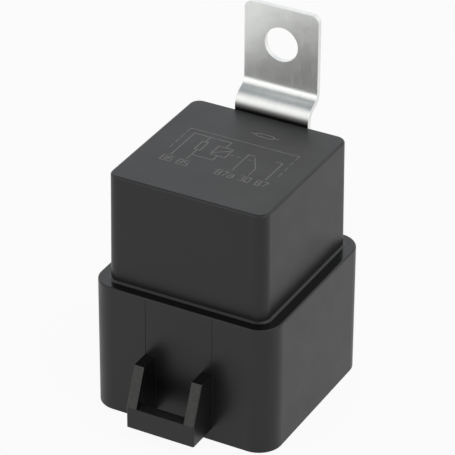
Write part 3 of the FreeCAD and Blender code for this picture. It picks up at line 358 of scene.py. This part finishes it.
def latch_scuffs_and_sheen(finish, where):
    """The latch's slopes, and its level faces up to the top of the cross bar."""
    ahead = spread(finish, axis(finish, where, "Y"), LATCH_START + MASK_STEP,
                   LATCH_START - MASK_STEP)
    low = 1 - spread(finish, axis(finish, where, "Z"), BAR_TOP + MASK_STEP,
                     BAR_TOP + 2 * MASK_STEP)
    rise = axis(finish, facing(finish), "Z")
    slope = band(finish, rise, 0.2, 0.3, 0.5, 0.6)
    # The bar's level top: its paler colour is a painted highlight.
    level = spread(finish, rise, 0.8, 0.9) * low
    rags = noise(finish, where, scale=1.6, detail=4.0, roughness=0.7)
    ragged = spread(finish, rags, 0.38, 0.6, to_low=0.25)
    return ahead * (slope + level * LEVEL_SHARE) * ragged


def top_dust_and_sheen(finish, where):
    """Faint patches on the cover's top, over an even share that paints it paler as a highlight."""
    high = spread(finish, axis(finish, where, "Z"), COVER_TOP - 0.3, COVER_TOP - 0.1)
    return high * patches(finish, where, 0.12, detail=4.0, roughness=0.6, least=0.3, most=0.8)


# %% [markdown]
# The ledge is cut by a plain cutter in the mould, which leaves it without the grain. It reflects
# the cover's dark wall more clearly than the faces around it do, and so it looks nearly black.
# A mask by height and direction makes it smoother, with no seam in the housing's mesh.

# %% Polish on the ledge
LEDGE_TOP = 23.2


def ledge_polish(finish, where):
    """The level faces at the ledge's height."""
    low, high = LEDGE_TOP - MASK_STEP, LEDGE_TOP + 2 * MASK_STEP
    near = band(finish, axis(finish, where, "Z"), low - MASK_STEP, low, high, high + MASK_STEP)
    level = spread(finish, axis(finish, facing(finish), "Z"), 0.8, 0.95)
    return near * level


housing_finish = moulded("housing_plastic", 0.003, 0.37,
                         scuffs_and_sheen=latch_scuffs_and_sheen, polish=ledge_polish, dust_and_sheen=top_dust_and_sheen)
dress(housing_finish, "housing")
dress(moulded("base_plastic", 0.006, 0.4), "base_plate")
dress(moulded("bobbin_plastic", 0.62, 0.5), "bobbin")

# %% [markdown]
# The bracket is cut and bent from bright plated strip. Rolling leaves faint lines along it, which
# stretch its highlights, the plating clouds a little, and handling leaves a few thin scratches.
# Its faces and bends are slightly wavy, which breaks up the highlights. Metallic 1 with a pale
# base colour is a plated metal, whose look comes almost wholly from what it reflects.
#
# All the strips in the relay have their width along X, so noise that changes fast along X and
# slowly along Y and Z draws lines that follow each strip round its bends. Unwrapping the strips
# would give the same lines with far more work.

# %% Metals
ROLLED_LINES = (3.0, 0.12, 0.12)
LINE_DEPTH = 0.001
STRIP_WAVE = 0.04
STRIP_EDGE = 0.1
# The reach of the paler metal edges, which are part wear and part painted highlight.
RUB_AND_SHEEN_RADIUS = 0.15
CLOUDED = 0.88
# The plating's tone in the painted shade over the cover, as a share of its colour.
PAINTED_SHADE = 0.06
RUB_AND_SHEEN = 1.06
PALEST = 0.97


def toned(colour, factor):
    """A colour times a factor, with its alpha."""
    return (*(c * factor for c in colour), 1)


def metal(name, colour, roughness, painted_shade=None):
    """Rolled metal: its colour, its roughness and a mask where shade is painted on."""
    material, finish = new_finish(name)
    where = place_on(finish)
    along = stretched(finish, where, ROLLED_LINES)
    rolled = patches(finish, along, scale=1.0, roughness=0.6)
    scratch = spread(finish, noise(finish, along, scale=1.7, detail=1.0), 0.64, 0.7)
    cloud = patches(finish, where, scale=0.35, detail=5.0, roughness=0.65)
    # Edges are painted paler and made smoother: part real wear, part painted highlight.
    rubbed_and_sheen = edge_share(finish, RUB_AND_SHEEN_RADIUS)
    share = cloud * 0.75 + rolled * 0.25 - scratch * 0.3
    tone = blend(finish, share, toned(colour, CLOUDED), toned(colour, 1))
    # Painted shade and dark reflection on the strap's front just over the cover.
    if painted_shade:
        tone = blend(finish, painted_shade(finish, where), tone, toned(colour, PAINTED_SHADE))
    worn_and_sheen = (*(min(c * RUB_AND_SHEEN, PALEST) for c in colour), 1)
    swells = noise(finish, where, scale=0.5, detail=3.0)
    waves = bump(finish, swells, STRIP_WAVE, soft_edges(finish, STRIP_EDGE))
    rough = roughness - 0.03 + cloud * 0.03 + rolled * 0.03
    surface(
        finish,
        Base_Color=blend(finish, rubbed_and_sheen, tone, worn_and_sheen),
        Metallic=1.0,
        Roughness=rough + scratch * 0.07 - rubbed_and_sheen * 0.05,
        Normal=bump(finish, rolled - scratch, LINE_DEPTH, waves),
    )
    return material


# %% [markdown]
# Just over the cover the bracket's front lies in shade and mirrors the cover's black top. A
# mask by height, kept to the faces that look to the front, paints that shade and dark reflection
# into the plating there and leaves the strap's back bright.

# %% Bracket
def strap_painted_shade(finish, where):
    """The front of the strap just over the cover, where shade is painted."""
    up = axis(finish, where, "Z")
    near = band(finish, up, COVER_TOP - 1.0, COVER_TOP - 0.5, COVER_TOP + 0.2, COVER_TOP + 2.0)
    return near * spread(finish, axis(finish, facing(finish), "Y"), 0.0, -0.3)


bracket_finish = metal("bracket_steel", (0.965, 0.98, 0.95), 0.375, painted_shade=strap_painted_shade)
dress(bracket_finish, "mounting_bracket")

# %% [markdown]
# The metals inside are the same recipe in other colours: soft iron for the magnet, steel rivets,
# tinned leads, silver contacts, copper for what carries the current, and spring bronze and spring
# steel for what bends. Only colour and roughness differ, so one table gives them, each with the
# solids that wear it.

# %% Metals of the mechanism
MECHANISM_METALS = (
    ("magnet_steel", (0.62, 0.6, 0.56), 0.34, ("yoke", "core", "armature")),
    ("spring_bronze", (0.72, 0.45, 0.24), 0.3, ("contact_leaf",)),
    ("spring_steel", (0.6, 0.6, 0.6), 0.28, ("hinge_spring",)),
    ("rivet_steel", (0.6, 0.58, 0.54), 0.34, ("armature_rivets", "spring_rivets")),
    ("contact_silver", (0.86, 0.85, 0.82), 0.22,
     ("moving_contact", "make_contact", "break_contact")),
    ("carrier_copper", (0.8, 0.43, 0.26), 0.3, ("make_carrier", "break_carrier")),
    ("lead_tin", (0.72, 0.71, 0.69), 0.3, ("resistor_leads",)),
    ("wire_copper", (0.66, 0.25, 0.1), 0.3, ("coil_start_wire", "coil_end_wire")),
)
for metal_name, metal_colour, metal_roughness, wearers in MECHANISM_METALS:
    dress(metal(metal_name, metal_colour, metal_roughness), *wearers)

# %% [markdown]
# The blades are stamped from brass strip that was tinned before stamping, so their flat sides are
# tin and their cut edges show brass with the fine upright lines of the shear. The edges could have
# a material slot of their own, but they face along the blade's width, so a mask from the direction
# of the faces tells tin from brass and leaves the meshes as they are.

# %% Tinned blades
TIN = (0.74, 0.73, 0.7, 1)
DULL_TIN = (0.62, 0.61, 0.58, 1)
BRASS = (0.78, 0.56, 0.26, 1)
SHEAR_LINES = (12.0, 12.0, 0.6)
SHEAR_DEPTH = 0.002
BLADE_EDGE = 0.06


def tinned(name, width_axis):
    """Tin on the flat sides and brass on the cut edges, for blades that are wide along an axis."""
    material, finish = new_finish(name)
    where = place_on(finish)
    across = axis(finish, facing(finish), width_axis)
    cut = spread(finish, across * across, 0.3, 0.6)
    along = stretched(finish, where, SHEAR_LINES)
    lines = noise(finish, along, scale=1.0, detail=3.0, roughness=0.6)
    plating = blend(finish, patches(finish, where, scale=0.6), DULL_TIN, TIN)
    relief = lines * (1 + cut * 2)
    surface(
        finish,
        Base_Color=blend(finish, cut, plating, BRASS),
        Metallic=1.0,
        Roughness=0.26 + lines * 0.1 + cut * 0.08,
        Normal=bump(finish, relief, SHEAR_DEPTH, soft_edges(finish, BLADE_EDGE)),
    )
    return material


dress(tinned("blade_tin_deep", "Y"), "blade_30", "blade_85", "blade_86")
dress(tinned("blade_tin_wide", "X"), "blade_87", "blade_87a")

# %% [markdown]
# The coil is a few thousand turns of lacquered copper wire. Each turn as its own tube would cost
# more than it shows, so a wave along the coil's axis raises the turns as relief, and a clear coat
# over the copper stands for the lacquer.

# %% Coil winding
TURN_PITCH = 0.2
TURN_DEPTH = 0.06
DRIFT = 0.6
LACQUER = 0.6
LACQUER_ROUGHNESS = 0.15
# The grooves between turns are painted darker, as shade.
SHADED_GROOVE_COPPER = (0.3, 0.09, 0.035, 1)
CROWN_COPPER = (0.7, 0.28, 0.12, 1)


def wound(name):
    """Lacquered wire in level turns, a little uneven."""
    material, finish = new_finish(name)
    where = place_on(finish)
    drift = noise(finish, where, scale=0.3) * DRIFT
    phase = (axis(finish, where, "Z") + drift) * (2 * math.pi / TURN_PITCH)
    turns = finish.node("ShaderNodeMath", {"operation": "SINE"}, {0: phase}) * 0.5 + 0.5
    surface(
        finish,
        # Painted shade: darker copper in the grooves between turns.
        Base_Color=blend(finish, turns, SHADED_GROOVE_COPPER, CROWN_COPPER),
        Metallic=1.0,
        Roughness=0.36 - turns * 0.1,
        Coat_Weight=LACQUER,
        Coat_Roughness=LACQUER_ROUGHNESS,
        Normal=bump(finish, turns, TURN_DEPTH),
    )
    return material


dress(wound("winding_copper"), "coil_winding")

# %% [markdown]
# The damping resistor is a lacquered ceramic rod with colour rings for its value. The rings could
# be thin sleeves, but they are only paint, so a colour ramp with hard steps along the rod's axis
# gives them their places and widths.

# %% Resistor
ROD_HALF = 3.2
GLAZE_DEPTH = 0.01
ROD_LACQUER = (0.35, 0.42, 0.4)
RINGS = (
    (0.2, 0.28, (0.02, 0.06, 0.3)),
    (0.36, 0.44, (0.25, 0.25, 0.25)),
    (0.52, 0.6, (0.12, 0.045, 0.02)),
    (0.74, 0.82, (0.5, 0.33, 0.08)),
)


def ringed(name):
    """Lacquer with rings across the rod's axis."""
    material, finish = new_finish(name)
    where = place_on(finish)
    along = spread(finish, axis(finish, where, "X"), -ROD_HALF, ROD_HALF)
    stops = [(0.0, ROD_LACQUER)]
    for start, end, colour in RINGS:
        stops += [(start, colour), (end, ROD_LACQUER)]
    glaze = noise(finish, where, scale=1.5, detail=3.0)
    surface(
        finish,
        Base_Color=finish.node("ShaderNodeValToRGB", {"stops": stops}, {0: along}),
        Roughness=0.22 + glaze * 0.12,
        Normal=bump(finish, glaze, GLAZE_DEPTH),
        IOR=PLASTIC_IOR,
    )
    return material


dress(ringed("resistor_lacquer"), "resistor_body")

# %% [markdown]
# Black epoxy seals the base from below. It is poured, so it is glossy and slightly wavy, with a
# few small pits where bubbles broke. It also creeps up the skirt's wall and every blade before
# it sets. That curve at its rim is what tells a poured surface from a moulded one, so it is a
# piece of its own: a concave fillet swept round the wall and round each blade.

# %% Poured resin
EPOXY_IOR = 1.55
POOL_WAVE = 0.5
PIT_DEPTH = 0.1
PIT_SHARE = -0.25


def poured(name, tint, roughness):
    """Smooth resin with waves and pits."""
    material, finish = new_finish(name)
    where = place_on(finish)
    waves = noise(finish, where, scale=0.22)
    cells = finish.node("ShaderNodeTexVoronoi", inputs={"Vector": where, "Scale": 0.55})
    pits = 1 - spread(finish, cells, 0.1, 0.16)
    surface(
        finish,
        Base_Color=blend(finish, waves, grey(tint * 0.8), grey(tint * 1.3)),
        Roughness=roughness + pits * 0.2 + waves * 0.06,
        Normal=bump(finish, pits * PIT_SHARE, PIT_DEPTH, bump(finish, waves, POOL_WAVE)),
        IOR=EPOXY_IOR,
    )
    return material


resin_finish = poured("resin", 0.008, 0.12)
dress(resin_finish, "sealing_resin")

# %% The resin's rim: its section and its path
CREEP = 0.55
BURIED = 0.05


def creep_section(steps=5):
    """A concave fillet's outline as pairs of distance from the wall and depth below the pool."""
    turns = [math.radians(90 * k / steps) for k in range(steps + 1)]
    curve = [(CREEP * (1 - math.sin(t)), CREEP * (1 - math.cos(t))) for t in turns]
    return [(CREEP, -BURIED), *curve, (-BURIED, CREEP), (-BURIED, -BURIED)]


def rounded_loop(low, high, corner, steps):
    """Stations round a rounded rectangle, each a point and its outward direction."""
    middle = (low + high) / 2
    reach = (high - low) / 2 - Vector((corner, corner))
    stations = []
    for quarter, sides in enumerate(((1, 1), (-1, 1), (-1, -1), (1, -1))):
        centre = middle + reach * Vector(sides)
        for k in range(steps + 1):
            t = math.radians(90 * (quarter + k / steps))
            out = Vector((math.cos(t), math.sin(t)))
            stations.append((centre + out * corner, out))
    return stations


# %% The resin's rim as a mesh
POOL_CORNER = 2.55
POOL_STEPS = 6
BLADE_CORNER = 0.08
BLADE_STEPS = 3
FLAT_SIDES = 3


def sweep(mesh, stations, section, side, level):
    """Sweep a section round a loop, to its outer side or to its inner side."""
    rings = []
    for point, out in stations:
        spots = [(point + out * away * side, down) for away, down in section]
        places = [(*(spot * MM), (level - down) * MM) for spot, down in spots]
        rings.append([mesh.verts.new(place) for place in places])
    for ring, following in zip(rings, rings[1:] + rings[:1]):
        for k in range(len(ring)):
            after = (k + 1) % len(ring)
            face = mesh.faces.new((ring[k], following[k], following[after], ring[after]))
            face.smooth = 0 < k < len(ring) - FLAT_SIDES


def finish_piece(mesh, name, material):
    """Close a mesh piece: its normals, its object, its body and its finish."""
    bmesh.ops.recalc_face_normals(mesh, faces=mesh.faces)
    data = bpy.data.meshes.new(name)
    mesh.to_mesh(data)
    mesh.free()
    data.materials.append(material)
    piece = bpy.data.objects.new(name, data)
    bpy.context.scene.collection.objects.link(piece)
    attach(piece, "relay_body")
    print(name, "has", len(data.polygons), "faces")


def make_creep():
    """The rim round the skirt's wall and round each blade."""
    low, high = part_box("sealing_resin")
    level = low.z / MM
    mesh = bmesh.new()
    section = creep_section()
    wall = rounded_loop(low.xy / MM, high.xy / MM, POOL_CORNER, POOL_STEPS)
    sweep(mesh, wall, section, -1, level)
    for name in nodes:
        if name.startswith("blade_"):
            points = [v.co / MM for v in nodes[name].data.vertices if v.co.z < low.z]
            near = Vector((min(p.x for p in points), min(p.y for p in points)))
            far = Vector((max(p.x for p in points), max(p.y for p in points)))
            sweep(mesh, rounded_loop(near, far, BLADE_CORNER, BLADE_STEPS), section, 1, level)
    finish_piece(mesh, "resin_creep", resin_finish)


make_creep()

# %% [markdown]
# The cover's top is pad-printed in pale grey with the relay's circuit: the coil with its damping
# resistor between two terminals, and the changeover contact between the other three. A texture
# could show it, but printed lines as a thin mesh stay sharp in any view and carry their own
# duller finish. Each line is one ribbon with mitred corners, and lines only touch where they
# meet, because faces that share a plane flicker.

# %% Lines of the print
INK_RISE = 0.012
INK_SINK = 0.02
LINE = 0.2
MITRE_LIMIT = 0.35


def across_at(points, k, closed):
    """The sideways direction at a corner, long enough to keep the line's width."""
    count = len(points)
    before = points[k] - points[k - 1] if closed or k > 0 else points[1] - points[0]
    after = points[(k + 1) % count] - points[k] if closed or k < count - 1 else before
    first, second = (Vector((-d.y, d.x)).normalized() for d in (before, after))
    side = (first + second).normalized()
    return side / max(side.dot(first), MITRE_LIMIT)


def add_line(mesh, corners, width=LINE, closed=False):
    """A raised ribbon on the cover's top through corners in millimetres."""
    points = [Vector(c) for c in corners]
    sunk, raised = COVER_TOP - INK_SINK, COVER_TOP + INK_RISE
    rings = []
    for k, point in enumerate(points):
        side = across_at(points, k, closed) * width / 2
        spots = [(point + side, sunk), (point + side, raised),
                 (point - side, raised), (point - side, sunk)]
        rings.append([mesh.verts.new((*(spot * MM), height * MM)) for spot, height in spots])
    pairs = list(zip(rings, rings[1:]))
    if closed:
        pairs.append((rings[-1], rings[0]))
    else:
        mesh.faces.new(rings[0])
        mesh.faces.new(rings[-1][::-1])
    for ring, following in pairs:
        for k in range(4):
            after = (k + 1) % 4
            mesh.faces.new((ring[k], ring[after], following[after], following[k]))


def arc(centre, radius, begin, end, steps=8):
    """Points along an arc, its angles in degrees."""
    turns = [math.radians(begin + (end - begin) * k / steps) for k in range(steps + 1)]
    return [(centre[0] + radius * math.cos(t), centre[1] + radius * math.sin(t)) for t in turns]


# %% [markdown]
# The terminals carry their standard numbers. They are plain strokes on a grid two wide and four
# high, drawn with the same ribbons, so no typeface is needed.

# %% Digits
OPEN = False
CLOSED = True
DIGITS = {
    "0": [([(0, 0), (2, 0), (2, 4), (0, 4)], CLOSED)],
    "3": [([(0, 4), (2, 4), (2, 0), (0, 0)], OPEN), ([(0.4, 2), (1.75, 2)], OPEN)],
    "5": [([(2, 4), (0, 4), (0, 2.2), (2, 2.2), (2, 0), (0, 0)], OPEN)],
    "6": [([(2, 4), (0, 4), (0, 0), (2, 0), (2, 2.2), (0.25, 2.2)], OPEN)],
    "7": [([(0, 4), (2, 4), (0.7, 0)], OPEN)],
    "8": [([(0, 0), (2, 0), (2, 4), (0, 4)], CLOSED), ([(0.25, 2.1), (1.75, 2.1)], OPEN)],
    "a": [([(2, 1.5), (0, 1.5), (0, 0), (2, 0)], OPEN),
          ([(0.2, 2.8), (2.24, 2.8), (2.24, 0)], OPEN)],
}
GRID_HIGH = 4
DIGIT_PITCH = 3
STROKE_SHARE = 0.12


def add_number(mesh, text, middle, low, height):
    """Digits side by side, centred on a place, with a given height."""
    unit = height / GRID_HIGH
    pitch = DIGIT_PITCH * unit
    left = middle - (len(text) * pitch - unit) / 2
    for order, digit in enumerate(text):
        for corners, closed in DIGITS[digit]:
            points = [(left + order * pitch + x * unit, low + y * unit) for x, y in corners]
            add_line(mesh, points, height * STROKE_SHARE, closed)


# %% The circuit's lines
FOOT = -3.9
RAIL = 3.9
HALF_LINE = LINE / 2
TERMINALS = {"86": -8.3, "85": -5.4, "87a": 2.1, "30": 5.6, "87": 8.6}
COIL = -1.6
RUNG = -2.4
REST = 1.9
CIRCUIT = (
    # Coil, drawn as a box with a stroke through it, between its two terminals
    ([(TERMINALS["86"], FOOT), (TERMINALS["86"], RAIL), (COIL, RAIL), (COIL, 2.1)], OPEN),
    ([(TERMINALS["85"], FOOT), (TERMINALS["85"], RUNG), (COIL, RUNG), (COIL, -0.9)], OPEN),
    ([(-2.9, -0.8), (-0.3, -0.8), (-0.3, 2.0), (-2.9, 2.0)], CLOSED),
    ([(-2.75, -0.2), (-0.45, 1.4)], OPEN),
    # Damping resistor beside the coil
    ([(TERMINALS["85"], RAIL - HALF_LINE), (TERMINALS["85"], 2.3)], OPEN),
    ([(-5.9, -0.6), (-4.9, -0.6), (-4.9, 2.2), (-5.9, 2.2)], CLOSED),
    ([(TERMINALS["85"], -0.7), (TERMINALS["85"], RUNG + HALF_LINE)], OPEN),
    # Changeover contact
    ([(TERMINALS["30"], FOOT), (TERMINALS["30"], -1.6), (3.9, 1.5)], OPEN),
    ([(2.6, FOOT), (2.6, REST), (3.7, REST)], OPEN),
    ([(TERMINALS["87"], FOOT), (TERMINALS["87"], REST), (7.4, REST)], OPEN),
)

# %% Dashed lines and the coil sign
THIN = LINE * 0.8
LINKAGE = (0.0, 1.2, 3.2, 4.0)
LINKAGE_LEVEL = 0.4
LINKAGE_DASH = 0.6
OUTLINE_SIDES = (-9.6, 9.9)
OUTLINE_TOP = 5.1
OUTLINE_CORNER = 1.4
OUTLINE_GAPS = (2.0, 3.9, 5.8)
OUTLINE_DASH = 1.3
SIGN_HEIGHT = 8.4
SIGN_ENDS = (0.9, 3.2)
SIGN_RADIUS = 0.45
SIGN_LEADS = ((3.75, 4.6), (0.35, -0.5))


def add_dashes(mesh):
    """The linkage from coil to contact, and the outline over both with its sides dashed."""
    for start in LINKAGE:
        dash = [(start, LINKAGE_LEVEL), (start + LINKAGE_DASH, LINKAGE_LEVEL)]
        add_line(mesh, dash, THIN)
    left, right = OUTLINE_SIDES
    corner = OUTLINE_TOP - OUTLINE_CORNER
    top = [(left, corner), (left, OUTLINE_TOP), (right, OUTLINE_TOP), (right, corner)]
    add_line(mesh, top, THIN)
    for side in OUTLINE_SIDES:
        for gap in OUTLINE_GAPS:
            start = OUTLINE_TOP - gap
            add_line(mesh, [(side, start), (side, start - OUTLINE_DASH)], THIN)


def add_sign(mesh):
    """A capsule with two leads, beside the bracket."""
    left, right = ((across, SIGN_HEIGHT) for across in SIGN_ENDS)
    capsule = arc(right, SIGN_RADIUS, -90, 90) + arc(left, SIGN_RADIUS, 90, 270)
    add_line(mesh, capsule, closed=True)
    for start, end in SIGN_LEADS:
        add_line(mesh, [(start, SIGN_HEIGHT), (end, SIGN_HEIGHT)])


# %% The printed circuit
NUMBER_LOW = FOOT - 2.1
NUMBER_HEIGHT = 1.5
FAINT_INK = (0.12, 0.12, 0.115, 1)
FULL_INK = (0.2, 0.2, 0.19, 1)


def inked(name):
    """Pale ink, thinned by wear in patches."""
    material, finish = new_finish(name)
    laid = patches(finish, place_on(finish), scale=1.4)
    surface(
        finish,
        Base_Color=blend(finish, laid, FAINT_INK, FULL_INK),
        Roughness=0.34 + laid * 0.06,
        IOR=PLASTIC_IOR,
    )
    return material


def make_print():
    """Numbers, circuit, dashes and sign as one thin mesh."""
    mesh = bmesh.new()
    for text, across in TERMINALS.items():
        add_number(mesh, text, across, NUMBER_LOW, NUMBER_HEIGHT)
    for corners, closed in CIRCUIT:
        add_line(mesh, corners, closed=closed)
    add_dashes(mesh)
    add_sign(mesh)
    finish_piece(mesh, "cover_print", inked("print_ink"))


make_print()

# %% [markdown]
# The relay stands on a plain pale floor. The camera sees the world as plain white. So do
# reflections, apart from a darker bluish ceiling straight above, which the bracket's bends pick
# up, and a faint blue behind the relay, which the cover's top mirrors. What lights the object is
# weaker: a plain grey sky and two large soft lamps, at which a colour renders about as it is
# written. More light would whiten the background too, but it would wash out the black plastic.

# %% World
SKY_LEVEL = 0.5
CEILING_TONE = (0.1, 0.125, 0.165, 1)
REAR_TONE = (0.95, 0.97, 1.0, 1)
WHITE = grey(1.0)


def rays(finish, kind):
    """1 for rays of one kind and 0 for all others."""
    return finish.node("ShaderNodeLightPath", output=f"Is {kind} Ray")


def make_world():
    """Plain white where it is seen, and a grey sky that lights the object."""
    world = bpy.data.worlds.new("studio")
    bpy.context.scene.world = world
    sky = Finish(world)
    glossy = rays(sky, "Glossy")
    seen = rays(sky, "Camera") + glossy + rays(sky, "Transmission")
    share = sky.node("ShaderNodeMath", {"operation": "MINIMUM"}, {0: seen, 1: 1.0})
    direction = sky.node("ShaderNodeTexCoord", output="Generated")
    height = axis(sky, direction, "Z")
    rear = spread(sky, axis(sky, direction, "Y"), 0.2, 0.6) * spread(sky, height, 0.15, 0.45)
    ceiling = spread(sky, height, 0.75, 0.9)
    air = blend(sky, rear * glossy, WHITE, REAR_TONE)
    shade = blend(sky, ceiling * glossy, air, CEILING_TONE)
    lit = sky.node("ShaderNodeBackground", inputs={"Color": WHITE, "Strength": SKY_LEVEL})
    shown = sky.node("ShaderNodeBackground", inputs={"Color": shade, "Strength": 1.0})
    whole = sky.node("ShaderNodeMixShader", inputs={0: share, 1: lit, 2: shown})
    sky.node("ShaderNodeOutputWorld", inputs={"Surface": whole})
    print("sky at", SKY_LEVEL)


make_world()

# %% [markdown]
# The floor is paper. To the camera it is nearly plain white and keeps a faint shadow, and in
# reflections it is partly white, as paper under studio light is. Seen from below it is clear, so
# that the blades in the open skirt can be looked at.

# %% Floor
FLOOR_REACH = 3.0
FLOOR_HEIGHT = -0.02 * MM
PAPER = 0.85
WHITE_TO_CAMERA = 0.93
WHITE_IN_REFLECTIONS = 0.65


def make_floor():
    """A wide sheet just under the skirt's rim."""
    mesh = bpy.data.meshes.new("floor")
    corners = [(x * FLOOR_REACH, y * FLOOR_REACH, FLOOR_HEIGHT)
               for x, y in ((-1, -1), (1, -1), (1, 1), (-1, 1))]
    mesh.from_pydata(corners, [], [(0, 1, 2, 3)])
    floor = bpy.data.objects.new("floor", mesh)
    bpy.context.scene.collection.objects.link(floor)
    material, finish = new_finish("floor_paper")
    mirrored = rays(finish, "Glossy") + rays(finish, "Transmission")
    white = rays(finish, "Camera") * WHITE_TO_CAMERA + mirrored * WHITE_IN_REFLECTIONS
    paper = finish.node("ShaderNodeBsdfDiffuse", inputs={"Color": grey(PAPER)})
    glow = finish.node("ShaderNodeEmission", inputs={"Color": WHITE, "Strength": 1.0})
    upper = finish.node("ShaderNodeMixShader", inputs={0: white, 1: paper, 2: glow})
    under = finish.node("ShaderNodeNewGeometry", output="Backfacing")
    clear = finish.node("ShaderNodeBsdfTransparent")
    whole = finish.node("ShaderNodeMixShader", inputs={0: under, 1: upper, 2: clear})
    finish.node("ShaderNodeOutputMaterial", inputs={"Surface": whole})
    mesh.materials.append(material)
    print("floor", 2 * FLOOR_REACH, "m wide")


make_floor()

# %% [markdown]
# The key lamp lights the right side from above, and a weak lamp in front and low gives the
# bracket's tab its sheen. Both are large, so their light is soft. The front lamp stays weak,
# because the bend under the tab mirrors it and would clip to white.

# %% Lamps
LAMP_TARGET = Vector((0, 0, 25 * MM))
LAMPS = (
    ("key", (0.75, -0.1, 0.55), 0.9, 0.2),
    ("front", (-0.45, -0.9, 0.2), 0.62, 0.06),
)


def add_lamp(name, place, side, level):
    """A square soft lamp that lights a facing surface at the target to a given level."""
    towards = Vector(place) - LAMP_TARGET
    data = bpy.data.lights.new(name, "AREA")
    data.shape = "SQUARE"
    data.size = side
    data.energy = level * (math.pi * towards.length) ** 2
    lamp = bpy.data.objects.new(name, data)
    lamp.location = place
    lamp.rotation_euler = towards.to_track_quat("Z", "Y").to_euler()
    bpy.context.scene.collection.objects.link(lamp)
    print(name, "lamp at", round(towards.length, 2), "m")


for lamp_values in LAMPS:
    add_lamp(*lamp_values)

# %% [markdown]
# The Standard view shows colours as they are written, with no film curve over them.

# %% View
bpy.context.scene.view_settings.view_transform = "Standard"
